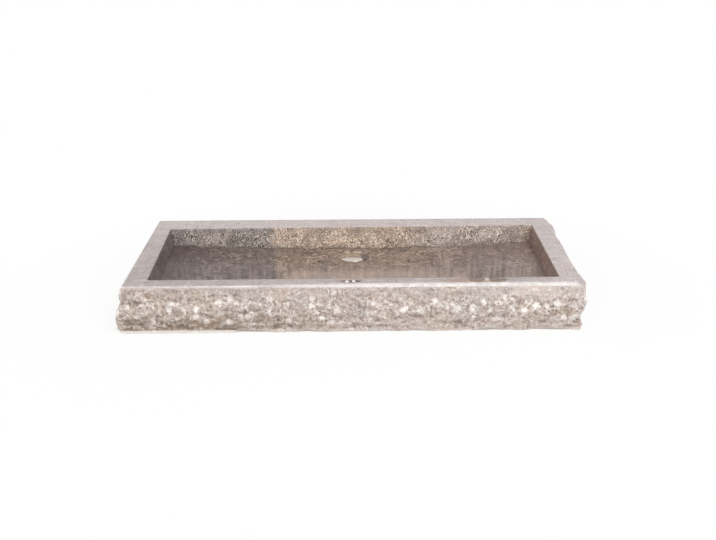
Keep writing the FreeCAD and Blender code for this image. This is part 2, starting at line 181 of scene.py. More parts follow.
class NodeSheet:
    """A node tree and the one way in which nodes are added to it."""

    def __init__(self, owner: bpy.types.Material | bpy.types.World) -> None:
        """Starts the owner's nodes afresh.

        Args:
            owner: The material or world that the nodes are for.
        """
        owner.use_nodes = True
        self.owner = owner
        self.tree = owner.node_tree
        self.tree.nodes.clear()

    @classmethod
    def material(cls, name: str) -> "NodeSheet":
        """A sheet for a new material of that name."""
        return cls(bpy.data.materials.new(name))

    def node(self, kind: str, settings: dict | None = None, inputs: dict | None = None) -> bpy.types.Node:
        """Adds a node.

        Args:
            kind: The node's type.
            settings: Its properties, which are set first.
            inputs: Values or links by socket name or number.

        Returns:
            The new node.
        """
        node = self.tree.nodes.new(kind)
        for key, value in (settings or {}).items():
            setattr(node, key, value)
        for key, value in (inputs or {}).items():
            socket = node.inputs[key]
            if isinstance(value, Value):
                self.tree.links.new(value.socket, socket)
            elif isinstance(value, tuple) and socket.type == "RGBA":
                socket.default_value = (*value, 1.0)
            else:
                socket.default_value = value
        return node

    def out(self, node: bpy.types.Node, socket: str | int = 0) -> Value:
        """An output of a node, ready for arithmetic."""
        return Value(self, node.outputs[socket])

    def maths(self, operation: str, *terms: "Value | float") -> Value:
        """One Math node."""
        return self.out(self.node("ShaderNodeMath", {"operation": operation}, dict(enumerate(terms))))

    def vectors(self, operation: str, *terms: "Value | Triple") -> bpy.types.Node:
        """One Vector Math node."""
        return self.node("ShaderNodeVectorMath", {"operation": operation}, dict(enumerate(terms)))

    def mix(self, share: "Value | float", first: "Value | Triple", second: "Value | Triple") -> Value:
        """Colours, mixed by a share of the second."""
        settings = {"data_type": "RGBA", "clamp_factor": True}
        return self.out(self.node("ShaderNodeMix", settings, {0: share, 6: first, 7: second}), 2)

    def layered(self, ground: "Value | Triple", *layers: tuple["Value", "Value | Triple"]) -> Value:
        """Layers of colour over a ground.

        Args:
            ground: The colour below them all.
            *layers: The share that each layer covers, and its colour, from the lowest up.

        Returns:
            The colour that shows.
        """
        for share, colour in layers:
            ground = self.mix(share, ground, colour)
        return ground

    @cached_property
    def place(self) -> Value:
        """Object coordinates, in metres."""
        return self.out(self.node("ShaderNodeTexCoord"), "Object")

    def axes(self) -> tuple[Value, Value, Value]:
        """X, Y and Z of the object coordinates."""
        node = self.node("ShaderNodeSeparateXYZ", None, {0: self.place})
        return self.out(node, 0), self.out(node, 1), self.out(node, 2)

    def stretched(self, scale: Triple = (1.0, 1.0, 1.0), shift: Triple = (0.0, 0.0, 0.0)) -> Value:
        """Object coordinates, scaled along the axes and shifted."""
        inputs = {"Vector": self.place, "Scale": scale, "Location": shift}
        return self.out(self.node("ShaderNodeMapping", None, inputs))

    def attribute(self, name: str) -> Value:
        """A number that the mesh carries on its vertices."""
        return self.out(self.node("ShaderNodeAttribute", {"attribute_name": name}), "Fac")

    def cloud(self, size: float, detail: float = 4.0, at: Value | None = None, warp: float = 0.0,
              rough: float = 0.5) -> Value:
        """Noise from 0 to 1.

        Args:
            size: The width of its features, in metres.
            detail: Octaves of finer noise.
            at: The coordinates that it reads, if not the plain ones.
            warp: How much it is distorted.
            rough: The weight of the finer octaves.

        Returns:
            The noise.
        """
        inputs = {"Vector": at or self.place, "Scale": 1.0 / size, "Detail": detail, "Roughness": rough,
                  "Distortion": warp}
        return self.out(self.node("ShaderNodeTexNoise", {"noise_dimensions": "3D"}, inputs))

    def patchy(self, size: float, ramp: Pair, least: float) -> Value:
        """A share that goes from a least value to 1, in patches of a size in metres."""
        return self.cloud(size, 3.0).step(*ramp).scaled(least, 1.0)

    def cellular(self, size: float, at: Value | None = None) -> bpy.types.Node:
        """A Voronoi pattern with cells of about that size, in metres."""
        return self.node("ShaderNodeTexVoronoi", None, {"Vector": at or self.place, "Scale": 1.0 / size})

    def cells(self, size: float, at: Value | None = None) -> Value:
        """The distance from a cell's middle, for cells of about that size."""
        return self.out(self.cellular(size, at), "Distance")

    def facets(self, size: float, at: Value | None = None) -> Value:
        """A number from 0 to 1 that is steady over each cell of about that size."""
        colour = self.out(self.cellular(size, at), "Color")
        return self.out(self.node("ShaderNodeSeparateColor", None, {0: colour}))

    def warped(self, size: float, reach: float) -> Value:
        """Object coordinates that noise has pushed about.

        Args:
            size: The width of the noise, in metres.
            reach: About how far it pushes, in metres.

        Returns:
            The coordinates.
        """
        inputs = {"Vector": self.place, "Scale": 1.0 / size, "Detail": 2.0}
        push = self.out(self.node("ShaderNodeTexNoise", {"noise_dimensions": "3D"}, inputs), "Color")
        centred = self.vectors("MULTIPLY_ADD", push, (2.0 * reach,) * 3, (-reach,) * 3)
        return self.out(self.vectors("ADD", self.place, self.out(centred)))

    def joined(self, *parts: "Value | float") -> Value:
        """A vector from three numbers."""
        return self.out(self.node("ShaderNodeCombineXYZ", None, dict(enumerate(parts))))

    def spot(self, centre: Triple, reach: Triple, ragged: float) -> Value:
        """A patch round a point.

        Args:
            centre: Its middle, in metres.
            reach: Its half sizes along the axes.
            ragged: How uneven its edge is.

        Returns:
            1 in the patch and 0 outside it.
        """
        scale = tuple(1.0 / r for r in reach)
        shift = tuple(-c / r for c, r in zip(centre, reach))
        length = self.vectors("LENGTH", self.stretched(scale, shift))
        edge = self.cloud(0.7 * min(reach), 2.0)
        return (self.out(length, "Value") + ragged * (edge - 0.5)).step(1.1, 0.85)

    def bump(self, height: Value, depth: float, strength: float) -> Value:
        """A normal from a height of 0 to 1 that stands for a depth in metres."""
        inputs = {"Height": height, "Distance": depth, "Strength": strength}
        return self.out(self.node("ShaderNodeBump", None, inputs))

    def mixed(self, share: Value, first: bpy.types.Node, second: bpy.types.Node) -> Value:
        """Two shaders, mixed by a share of the second."""
        inputs = {0: share, 1: self.out(first), 2: self.out(second)}
        return self.out(self.node("ShaderNodeMixShader", None, inputs))

    def finish(self, inputs: dict) -> bpy.types.Material:
        """Ends the sheet with one Principled shader.

        Args:
            inputs: Its sockets' values and links.

        Returns:
            The material.
        """
        shader = self.node("ShaderNodeBsdfPrincipled", None, inputs)
        self.node("ShaderNodeOutputMaterial", None, {"Surface": self.out(shader)})
        return self.owner


@dataclass(frozen=True)
class Coat:
    """A coat of colour that follows a pattern. Its ramp says where it sets in and where it is full."""

    ramp: Pair
    density: float
    colour: Triple

    def share(self, pattern: Value, where: Value | None = None) -> Value:
        """How much of a place the coat covers.

        Args:
            pattern: The pattern that it follows.
            where: A mask that it is kept to, if any.

        Returns:
            The share.
        """
        covered = pattern.step(*self.ramp)
        if where:
            covered = covered * where
        return covered if self.density == 1.0 else covered * self.density

    def over(self, pattern: Value, where: Value | None = None) -> tuple[Value, Triple]:
        """The coat as a layer: its share and its colour."""
        return self.share(pattern, where), self.colour


@dataclass(frozen=True)
class FossilBed:
    """The stone's figure where it is ground: short pale tubes and shell bits, each with a dark seam."""

    tube: float = 0.0118
    half_width: float = 0.050
    grain: float = 0.0036
    shell: float = 0.0095
    weight: float = 1.0
    ground: float = 0.40
    grain_weight: float = 0.95
    tube_weight: float = 0.95
    seam_weight: float = 0.45
    shell_weight: float = 0.5
    small_tube: float = 0.55
    tube_core: float = 0.35
    seam_reach: Pair = (2.4, 1.2)
    broken_size: float = 2.1
    broken_off: Pair = (0.38, 0.52)
    shell_edge: Pair = (0.27, 0.16)
    shell_kept: Pair = (0.55, 0.65)

    def figure(self, sheet: NodeSheet) -> Value:
        """Draws the figure.

        Args:
            sheet: The sheet to draw it on.

        Returns:
            About 0 in the seams, 0.4 in the plain ground and 1 in the tubes.
        """
        total = self.ground + self.grain_weight * (sheet.cloud(self.grain, 3.0, rough=0.7) - 0.5)
        for k, size in enumerate((self.tube, self.small_tube * self.tube)):
            shift = (1.7 + 2.3 * k, 0.4 - 1.9 * k, 3.1 * k)
            level = abs(sheet.cloud(size, 1.0, sheet.stretched(shift=shift), warp=0.9) - 0.5)
            there = sheet.cloud(self.broken_size * size, 1.0, sheet.stretched(shift=shift[::-1]))
            line = level.step(self.half_width, self.tube_core * self.half_width)
            seam = level.step(*(reach * self.half_width for reach in self.seam_reach))
            drawn = self.tube_weight * line - self.seam_weight * seam
            total = total + self.weight * there.step(*self.broken_off) * drawn
        kept = sheet.facets(self.shell).step(*self.shell_kept)
        return total + self.shell_weight * (sheet.cells(self.shell).step(*self.shell_edge) * kept)


@dataclass(frozen=True)
class SplitStone:
    """Split outer sides: rough, pale grey-beige, with white crystals at half height, browner low down."""

    fresh: ClassVar[Triple] = (0.570, 0.462, 0.404)
    cool: ClassVar[Triple] = (0.500, 0.430, 0.408)
    deep: ClassVar[Triple] = (0.200, 0.150, 0.118)
    brown: ClassVar[Triple] = (0.320, 0.218, 0.142)
    white: ClassVar[Triple] = (0.950, 0.905, 0.870)
    grain_size: float = 0.0055
    mottle_size: float = 0.0150
    cool_size: float = 0.05
    bed: FossilBed = FossilBed(0.020, 0.040, 0.0055)
    cool_patches: Coat = Coat((0.36, 0.66), 1.0, cool)
    dark_mottle: Coat = Coat((0.46, 0.26), 0.55, deep)
    pale_mottle: Coat = Coat((0.54, 0.74), 0.60, white)
    dark_grain: Coat = Coat((0.47, 0.28), 1.0, deep)
    dark_grain_least: float = 0.85
    low_mottle: Coat = Coat((0.60, 0.40), 0.60, deep)
    pale_grain: Coat = Coat((0.55, 0.74), 0.70, white)
    seams: Coat = Coat((0.34, 0.0), 0.45, deep)
    tubes: Coat = Coat((0.60, 1.1), 0.45, white)
    low_height: Pair = (0.066, 0.014)
    low_leftward: Pair = (0.08, -0.36)
    low_least: float = 0.08
    ochre_size: float = 0.034
    ochre_shift: Triple = (0.31, 0.7, 0.2)
    ochre_low: Pair = (0.34, 0.54)
    ochre_stains: Pair = (0.62, 0.74)
    ochre_left: Pair = (0.38, 0.56)
    ochre_patch: Pair = (0.30, 0.50)
    rusty_left: Pair = (-0.35, -0.42)
    rusty_patch: Patch = ((0.402, -0.230, 0.040), (0.036, 0.060, 0.014))
    stain_share: float = 0.45
    left_share: float = 0.20
    left_stained: float = 0.30
    left_lower: float = 0.20
    patch_share: float = 0.55
    pale_right: Pair = (0.12, 0.30)
    pale_above: Pair = (0.062, 0.076)
    crystal: float = 0.020
    crystal_rise: Pair = (0.014, 0.034)
    crystal_fall: Pair = (0.084, 0.062)
    crystal_waver: Pair = (0.006, 0.0075)
    crystal_edge: Pair = (0.42, 0.20)
    crystal_kept: Pair = (0.36, 0.60)
    crystal_least: float = 0.10
    crystal_fray: float = 0.8
    vein_size: float = 0.016
    vein_shift: Triple = (5.1, 2.7, 9.3)
    vein_band: float = 0.15
    vein_fray: float = 0.30
    vein_share: float = 0.75
    vein_kept: Pair = (0.69, 0.84)
    brown_share: float = 0.9
    # Paler ridges are partly painted highlight; darker crevices are painted shade.
    ridge_share: float = 0.30
    crevice_share: float = 0.70
    lighter_share: float = 0.16
    sparkle_share: float = 0.90
    roughness: float = 0.88
    sparkle_shine: float = 0.30
    grain_relief: float = 0.60
    mottle_relief: float = 0.40
    relief: float = 0.0026

    def make(self) -> bpy.types.Material:
        """Makes the finish.

        Returns:
            The material.
        """
        sheet = NodeSheet.material("stone_split")
        along, _, height = sheet.axes()
        crevice, ridge, bright = (sheet.attribute(name) for name in ("crevice", "ridge", "bright"))
        grain = sheet.cloud(self.grain_size, 5.0, rough=0.70)
        mottle = sheet.cloud(self.mottle_size, 4.0, rough=0.65)
        figure = self.bed.figure(sheet)
        leftward = along.step(*self.low_leftward).scaled(self.low_least, 1.0)
        low = height.step(*self.low_height) * leftward
        lighter = along.step(*self.pale_right) * height.step(*self.pale_above)
        sparkle = self._crystals(sheet, height, grain) | bright
        colour = sheet.layered(
            self.fresh,
            self.cool_patches.over(sheet.cloud(self.cool_size, 3.0)),
            (self._rust(sheet, along, low) * self.brown_share, self.brown),
            self.dark_mottle.over(mottle),
            self.pale_mottle.over(mottle),
            self.dark_grain.over(grain, low.scaled(self.dark_grain_least, 1.0)),
            self.low_mottle.over(mottle, low),
            self.pale_grain.over(grain),
            self.seams.over(figure),
            self.tubes.over(figure),
            # Paler ridges, partly painted highlight; darker crevices, painted shade.
            (ridge * self.ridge_share, self.white),
            (crevice * self.crevice_share, self.deep),
            (lighter * self.lighter_share, self.white),
            (sparkle * self.sparkle_share, self.white))
        relief = self.grain_relief * grain + self.mottle_relief * mottle
        return sheet.finish({"Base Color": colour, "Roughness": self.roughness - self.sparkle_shine * sparkle,
                             "IOR": STONE_IOR, "Normal": sheet.bump(relief, self.relief, 0.9)})

    def _rust(self, sheet: NodeSheet, along: Value, low: Value) -> Value:
        """Where the stone is brown: low down, in stains, at the left end and in one patch on the right.

        Args:
            sheet: The sheet to draw on.
            along: The place along the length.
            low: The mask of the browner foot.

        Returns:
            The share of brown.
        """
        ochre = sheet.cloud(self.ochre_size, 4.0, sheet.stretched(shift=self.ochre_shift), rough=0.62)
        stains = self.stain_share * ochre.step(*self.ochre_stains)
        left = self.left_share + self.left_stained * ochre.step(*self.ochre_left) + self.left_lower * low
        left = left * along.step(*self.rusty_left)
        patch = self.patch_share * sheet.spot(*self.rusty_patch, 1.0) * ochre.step(*self.ochre_patch)
        return low * ochre.step(*self.ochre_low) | stains | left | patch

    def _crystals(self, sheet: NodeSheet, height: Value, grain: Value) -> Value:
        """White crystal patches, most of them at half height.

        Args:
            sheet: The sheet to draw on.
            height: The height above the base.
            grain: The stone's grain, which frays their edges.

        Returns:
            1 in a crystal and 0 outside it.
        """
        band = height.step(*self.crystal_rise) * height.step(*self.crystal_fall)
        uneven = sheet.warped(*self.crystal_waver)
        frayed = sheet.cells(self.crystal, uneven) + self.crystal_fray * (grain - 0.5)
        lumps = frayed.step(*self.crystal_edge)
        lumps = lumps * sheet.facets(self.crystal, uneven).step(*self.crystal_kept)
        veins = sheet.cloud(self.vein_size, 3.0, sheet.stretched(shift=self.vein_shift), 0.5, 0.6)
        flecks = (veins + self.vein_band * band + self.vein_fray * (grain - 0.5)).step(*self.vein_kept)
        return lumps * band.scaled(self.crystal_least, 1.0) | self.vein_share * flecks


@dataclass(frozen=True)
class HonedStone:
    """The rim: honed flat, pale lilac grey, with rusty stains, faint streaks of painted reflection and a
    front edge painted white as highlight.
    """

    ground: ClassVar[Triple] = (0.455, 0.392, 0.380)
    cloudy: ClassVar[Triple] = (0.370, 0.313, 0.300)
    veined: ClassVar[Triple] = (0.320, 0.264, 0.254)
    pale: ClassVar[Triple] = (0.640, 0.560, 0.553)
    rosy: ClassVar[Triple] = (0.560, 0.455, 0.460)
    rust: ClassVar[Triple] = (0.150, 0.098, 0.068)
    tinge: ClassVar[Triple] = (0.335, 0.234, 0.184)
    # The colour of the painted shade in the pit and at the foot of the arris.
    dark: ClassVar[Triple] = (0.100, 0.080, 0.075)
    white: ClassVar[Triple] = (0.930, 0.890, 0.870)
    bed: FossilBed = FossilBed(0.013, 0.04, 0.0036)
    cloud_size: float = 0.055
    rosy_size: float = 0.09
    # The faint pale streaks that run front to back are painted reflection.
    streak_size: float = 0.011
    streak_scale: Triple = (1.0, 0.10, 1.0)
    band_size: float = 0.009
    band_scale: Triple = (0.22, 1.0, 1.0)
    band_shift: Triple = (0.4, 0.9, 0.1)
    clouds: Coat = Coat((0.34, 0.68), 1.0, cloudy)
    pale_back: Coat = Coat((0.02, 0.20), 0.70, pale)
    pale_right: Coat = Coat((0.36, 0.43), 0.52, pale)
    blush: Coat = Coat((0.50, 0.70), 0.40, rosy)
    streaks: Coat = Coat((0.46, 0.72), 0.40, pale)
    pale_bands: Coat = Coat((0.52, 0.72), 0.70, pale)
    dark_bands: Coat = Coat((0.48, 0.28), 0.90, veined)
    tubes: Coat = Coat((0.5, 1.0), 0.28, white)
    seams: Coat = Coat((0.36, 0.0), 0.42, dark)
    tinged: tuple[tuple[Triple, Triple, float], ...] = (
        ((0.240, -0.203, 0.097), (0.066, 0.016, 0.02), 1.0),
        ((0.020, -0.200, 0.097), (0.072, 0.020, 0.02), 0.35))
    stains: tuple[Patch, ...] = (
        ((0.243, -0.198, 0.097), (0.017, 0.018, 0.02)),
        ((0.286, -0.198, 0.097), (0.020, 0.017, 0.02)))
    fleck: Patch = ((0.264, -0.2000, 0.097), (0.005, 0.007, 0.01))
    # The white along the rim's front edge is painted highlight: where it lies, how it is broken up, stronger
    # to the right and ending short of the right end.
    edge_highlight: Pair = (-0.2200, -0.2235)
    edge_highlight_rightward: Pair = (-0.28, 0.05)
    edge_highlight_right: float = 0.0050
    edge_highlight_end: Pair = (0.447, 0.435)
    edge_highlight_shares: Pair = (0.12, 0.64)
    stain_breaks: Breaks = (0.009, (0.40, 0.58), 0.60)
    edge_highlight_breaks: Breaks = (0.016, (0.40, 0.60), 0.60)
    fleck_share: float = 0.45
    roughness: float = 0.40
    spread: float = 0.16
    film_size: float = 0.010
    relief: float = 0.0003

    def make(self) -> bpy.types.Material:
        """Makes the finish.

        Returns:
            The material.
        """
        sheet = NodeSheet.material("stone_honed")
        along, across, _ = sheet.axes()
        figure = self.bed.figure(sheet)
        streaks = sheet.cloud(self.streak_size, 3.0, sheet.stretched(self.streak_scale))
        bands = sheet.cloud(self.band_size, 5.0, sheet.stretched(self.band_scale, self.band_shift), rough=0.6)
        stained = sheet.patchy(*self.stain_breaks)
        tinges = [(sheet.spot(centre, reach, 1.2) * stained * share, self.tinge)
                  for centre, reach, share in self.tinged]
        stains = [(sheet.spot(*patch, 1.0) * stained, self.rust) for patch in self.stains]
        colour = sheet.layered(
            self.ground,
            self.clouds.over(sheet.cloud(self.cloud_size, 4.0)),
            (self.pale_back.share(across) | self.pale_right.share(along), self.pale),
            self.blush.over(sheet.cloud(self.rosy_size, 2.0)),
            # Painted reflection: faint pale streaks from front to back.
            self.streaks.over(streaks),
            self.pale_bands.over(bands),
            self.dark_bands.over(bands),
            self.tubes.over(figure),
            self.seams.over(figure),
            *tinges,
            *stains,
            # Painted shade in the pit and at the foot of the arris.
            (sheet.attribute("crevice"), self.dark),
            (self._bright(sheet, along, across), self.white))
        rough = self.roughness + self.spread * sheet.cloud(self.film_size, 3.0)
        return sheet.finish({"Base Color": colour, "Roughness": rough, "IOR": STONE_IOR,
                             "Normal": sheet.bump(figure, self.relief, 0.35)})

    def _bright(self, sheet: NodeSheet, along: Value, across: Value) -> Value:
        """The white places: the front edge, painted white as highlight, the crystals and a fleck between the
        stains.

        Args:
            sheet: The sheet to draw on.
            along: The place along the length.
            across: The place from front to back.

        Returns:
            The share of white.
        """
        # Painted highlight along the front edge.
        broken = sheet.patchy(*self.edge_highlight_breaks)
        righter = along.step(*self.edge_highlight_rightward)
        edge = (across - self.edge_highlight_right * righter).step(*self.edge_highlight) * broken
        edge = edge * righter.scaled(*self.edge_highlight_shares) * along.step(*self.edge_highlight_end)
        return sheet.attribute("bright") | edge | self.fleck_share * sheet.spot(*self.fleck, 0.9)


@dataclass(frozen=True)
class PolishedStone:
    """A polished face of the basin: the fossil bed in grey, with a rusty gold middle and a paler right.

    Each tone is a pair of colours, for the figure's dark and pale parts.
    """

    name: str
    bed: FossilBed = FossilBed(0.0112, 0.052, 0.0035, 0.0105)
    grey: Tones = ((0.080, 0.066, 0.060), (0.740, 0.635, 0.580))
    gold: Tones = ((0.215, 0.144, 0.101), (0.965, 0.790, 0.650))
    beige: Tones = ((0.155, 0.121, 0.104), (0.920, 0.790, 0.715))
    beige_from: Pair = (0.06, 0.20)
    gold_left: Pair = (-0.191, -0.181)
    gold_right: Pair = (0.20, 0.10)
    gold_front: Pair = (0.02, 0.13)
    gold_end: Pair = (0.32, 0.42)
    gold_end_share: float = 0.55
    gold_patch: Pair = (0.60, 1.10)
    border_size: float = 0.03
    border_waver: float = 0.02
    # Darker colours towards the ends of the floor: painted shade.
    ends: Tones = ((0.082, 0.062, 0.058), (0.112, 0.068, 0.052))
    left_end: Pair = (-0.30, -0.40)
    right_end: Pair = (0.35, 0.43)
    ends_meet: Pair = (-0.1, 0.1)
    end_shade_share: float = 0.0
    ground: float = 0.42
    contrast: float = 1.35
    contrast_patch: Pair = (0.8, 1.3)
    clouding: float = 0.75
    cloud_size: float = 0.030
    patch: float = 0.040
    patch_waver: Pair = (0.02, 0.008)
    patch_tone: float = 0.16
    # Painted reflection: soft streaks that fan out from a point in front of the stone.
    reflection_streak: float = 0.0
    streak_size: float = 0.011
    streak_fan: float = 0.43
    streak_run: float = 0.06
    streak_back: float = 0.30
    front_half: Pair = (0.07, -0.03)
    front_shift: float = 0.0
    # The top of the walls, under the rim's edge, is darker and calmer: painted shade.
    wall_top: Pair = (0.076, 0.093)
    top_calm: float = 0.45
    top_shade: float = 0.06
    right_calm: float = 0.18
    # In the floor's front half the figure is calmer and a patch in the middle is paler: painted reflection.
    calm: float = 0.0
    near_left: Pair = (-0.155, -0.115)
    near_right: Pair = (0.24, 0.10)
    near_back: Pair = (0.02, -0.03)
    near_reflection: float = 0.0
    near_reflection_colour: Triple = (0.520, 0.400, 0.335)
    roughness: float = 0.16
    refraction: float = 1.45
    # Small pale spots: on the back wall a fleck in the stone, on the floor two painted glints.
    fleck_colour: Triple = (0.66, 0.57, 0.49)
    flecks: tuple[Patch, ...] = ()
    fleck_share: float = 0.75
    film_size: float = 0.03
    spread: float = 0.10
    ripple_size: float = 0.03
    # Painted shade where the floor meets the walls, broken up in patches.
    corner_shade_ramp: Pair = (0.45, 0.60)
    corner_shade_shares: Pair = (0.15, 0.70)
    relief: float = 0.0004

    def make(self) -> bpy.types.Material:
        """Makes the finish.

        Returns:
            The material.
        """
        sheet = NodeSheet.material(self.name)
        along, across, height = sheet.axes()
        near = across.step(*self.front_half)
        upper = height.step(*self.wall_top)
        waver = self.border_waver * (sheet.cloud(self.border_size, 3.0) - 0.5)
        bend = along + waver - self.front_shift * near
        right = bend.step(*self.beige_from)
        patch = sheet.facets(self.patch, sheet.warped(*self.patch_waver))
        gold = bend.step(*self.gold_left) * bend.step(*self.gold_right) * across.step(*self.gold_front)
        gold = (gold | self.gold_end_share * bend.step(*self.gold_end)) * patch.scaled(*self.gold_patch)
        dark, pale = (sheet.mix(gold, sheet.mix(right, grey, beige), golden)
                      for grey, beige, golden in zip(self.grey, self.beige, self.gold))
        figure = self.bed.figure(sheet) + self.clouding * (sheet.cloud(self.cloud_size, 3.0) - 0.5)
        # The figure is calmer in the floor's front half, as painted reflection, and at the top of the walls,
        # as painted shade.
        contrast = self.contrast * patch.scaled(*self.contrast_patch) * (1.0 - self.calm * near)
        contrast = contrast * (1.0 - self.right_calm * right) * (1.0 - self.top_calm * upper)
        share = self.ground + contrast * (figure - self.ground) + self.patch_tone * (patch - 0.5)
        # The darker top of the walls is painted shade; the streaks are painted reflection.
        share = share - self.top_shade * upper + self._reflection_streaks(sheet, along, across)
        # Painted reflection: the paler patch in the front middle of the floor.
        middle = along.step(*self.near_left) * along.step(*self.near_right) * across.step(*self.near_back)
        ends = along.step(*self.left_end) | along.step(*self.right_end)
        film = sheet.cloud(self.film_size, 3.0)
        corner_shade = film.step(*self.corner_shade_ramp).scaled(*self.corner_shade_shares)
        colour = sheet.layered(
            sheet.mix(share, dark, pale),
            (middle * self.near_reflection, self.near_reflection_colour),
            # Painted shade towards both ends of the floor.
            (ends * self.end_shade_share, sheet.mix(along.step(*self.ends_meet), *self.ends)),
            # Pale flecks; those on the floor are painted glints.
            *((sheet.spot(*fleck, 1.2) * self.fleck_share, self.fleck_colour) for fleck in self.flecks),
            # Painted shade along the foot of the walls.
            (sheet.attribute("crevice") * corner_shade, self.grey[0]))
        ripple = sheet.cloud(self.ripple_size, 2.0)
        return sheet.finish({"Base Color": colour, "Roughness": self.roughness + self.spread * film,
                             "IOR": self.refraction, "Normal": sheet.bump(ripple, self.relief, 0.25)})

    def _reflection_streaks(self, sheet: NodeSheet, along: Value, across: Value) -> Value:
        """Painted reflection: soft streaks that fan out a little towards the back, strongest in the front
        half.

        Args:
            sheet: The sheet to draw on.
            along: The place along the length.
            across: The place from front to back.

        Returns:
            What they add to the share of the pale tone.
        """
        fan = along / (self.streak_fan * across + 1.0)
        drawn_out = sheet.joined(fan, self.streak_run * across, 0.0)
        lines = sheet.cloud(self.streak_size, 5.0, drawn_out, rough=0.6)
        nearer = across.step(*self.front_half).scaled(self.streak_back, 1.0)
        return self.reflection_streak * nearer * (lines - 0.5)


@dataclass(frozen=True)
class SawnStone:
    """The underside and the drain's hole: sawn, matt, with the blade's faint lines."""

    ground: ClassVar[Triple] = (0.43, 0.375, 0.345)
    dusty: ClassVar[Triple] = (0.37, 0.318, 0.288)
    score: ClassVar[Triple] = (0.54, 0.495, 0.465)
    dust: Coat = Coat((0.36, 0.66), 1.0, dusty)
    dust_size: float = 0.05
    lines: Coat = Coat((0.5, 0.7), 0.3, score)
    line_size: float = 0.004
    line_scale: Triple = (0.05, 1.0, 1.0)
    roughness: float = 0.72
    relief: float = 0.0004

    def make(self) -> bpy.types.Material:
        """Makes the finish.

        Returns:
            The material.
        """
        sheet = NodeSheet.material("stone_sawn")
        lines = sheet.cloud(self.line_size, 2.0, sheet.stretched(self.line_scale))
        dust = sheet.cloud(self.dust_size, 4.0)
        colour = sheet.layered(self.ground, self.dust.over(dust), self.lines.over(lines))
        return sheet.finish({"Base Color": colour, "Roughness": self.roughness, "IOR": STONE_IOR,
                             "Normal": sheet.bump(lines, self.relief, 0.6)})


@dataclass(frozen=True)
class Metal:
    """A bright metal with faint wiping marks and water spots and, where one is given, a darker patch that is
    a painted dark reflection.
    """

    name: str
    colour: Triple
    roughness: float
    spread: float
    marks: float
    # A painted dark reflection: its patch and its colour.
    dark_reflection: Patch | None = None
    dark_reflection_colour: Triple = (0.150, 0.125, 0.125)
    film_size: float = 0.012
    film_ramp: Pair = (0.4, 0.75)
    dulled: float = 0.82
    spot_size: float = 0.006
    spot_edge: Pair = (0.22, 0.12)
    spot_kept: Pair = (0.5, 0.62)
    line_size: float = 0.0009
    line_scale: Triple = (1.0, 1.0, 0.2)
    relief: float = 0.00004

    def make(self) -> bpy.types.Material:
        """Makes the finish.

        Returns:
            The material.
        """
        sheet = NodeSheet.material(self.name)
        film = sheet.cloud(self.film_size, 4.0)
        spots = sheet.cells(self.spot_size).step(*self.spot_edge) * film.step(*self.spot_kept)
        dull = Coat(self.film_ramp, self.marks, tuple(self.dulled * c for c in self.colour))
        colour = sheet.layered(self.colour, dull.over(film))
        rough = self.roughness + self.spread * film + 0.5 * self.spread * spots
        # Painted dark reflection in one patch, made duller as well.
        if self.dark_reflection:
            dim = sheet.spot(*self.dark_reflection, 0.8)
            colour = sheet.mix(dim * 0.9, colour, self.dark_reflection_colour)
            rough = rough + 0.25 * dim
        lines = sheet.cloud(self.line_size, 2.0, sheet.stretched(self.line_scale))
        return sheet.finish({"Base Color": colour, "Metallic": 1.0, "Roughness": rough,
                             "Normal": sheet.bump(lines, self.relief, self.marks)})


@dataclass(frozen=True)
class Moulded:
    """Rubber or plastic with a moulded grain and some dust in it."""

    name: str
    colour: Triple
    dust: Triple
    roughness: float
    grain: float
    dust_size: float = 0.008
    dust_ramp: Pair = (0.48, 0.8)
    dust_share: float = 0.4

    def make(self) -> bpy.types.Material:
        """Makes the finish.

        Returns:
            The material.
        """
        sheet = NodeSheet.material(self.name)
        dusty = sheet.cloud(self.dust_size, 4.0)
        coat = Coat(self.dust_ramp, self.dust_share, self.dust)
        colour = sheet.layered(self.colour, coat.over(dusty))
        grain = sheet.cloud(self.grain, 3.0)
        return sheet.finish({"Base Color": colour, "Roughness": self.roughness + 0.12 * dusty,
                             "Normal": sheet.bump(grain, 0.1 * self.grain, 0.4)})


STONE = {
    Zone.SPLIT: SplitStone(),
    Zone.HONED: HonedStone(),
    Zone.WALL: PolishedStone("stone_wall", fleck_colour=(0.42, 0.36, 0.33),
                             flecks=(((-0.309, 0.157, 0.077), (0.0065, 0.02, 0.0085)),)),
    # The end walls: a darker copy of the walls' stone, as painted shade, with the painted reflection streaks.
    Zone.END: PolishedStone(
        "stone_end_shaded",
        grey=((0.102, 0.081, 0.077), (0.250, 0.206, 0.196)),
        gold=((0.172, 0.110, 0.092), (0.420, 0.288, 0.242)),
        beige=((0.172, 0.110, 0.092), (0.420, 0.288, 0.242)),
        contrast=1.10, clouding=1.80, reflection_streak=0.9),
    # The floor's painted light: darker ends as painted shade, pale streaks and a paler front middle as
    # painted reflection, and two glints behind the cap as painted highlight.
    Zone.FLOOR: PolishedStone(
        "stone_floor",
        FossilBed(0.030, 0.060, 0.010, 0.024, 0.65),
        grey=((0.080, 0.060, 0.056), (0.330, 0.262, 0.242)),
        gold=((0.125, 0.085, 0.064), (0.500, 0.378, 0.305)),
        beige=((0.110, 0.079, 0.070), (0.430, 0.328, 0.292)),
        gold_left=(-0.190, -0.160), gold_right=(0.30, 0.12), gold_front=(-0.40, -0.30),
        end_shade_share=0.62, contrast=0.90, clouding=0.60, patch=0.07, reflection_streak=1.70, front_shift=0.012,
        calm=0.40, near_reflection=0.40, roughness=0.20, refraction=1.16,
        # Two painted glints just behind the cap.
        flecks=(((-0.0125, 0.1225, 0.049), (0.005, 0.006, 0.01)),
                ((0.0100, 0.1250, 0.049), (0.009, 0.006, 0.01)))),
    Zone.SAWN: SawnStone(),
}
CHROME = Metal("chrome_polished", (0.68, 0.65, 0.62), 0.07, 0.06, 0.25)
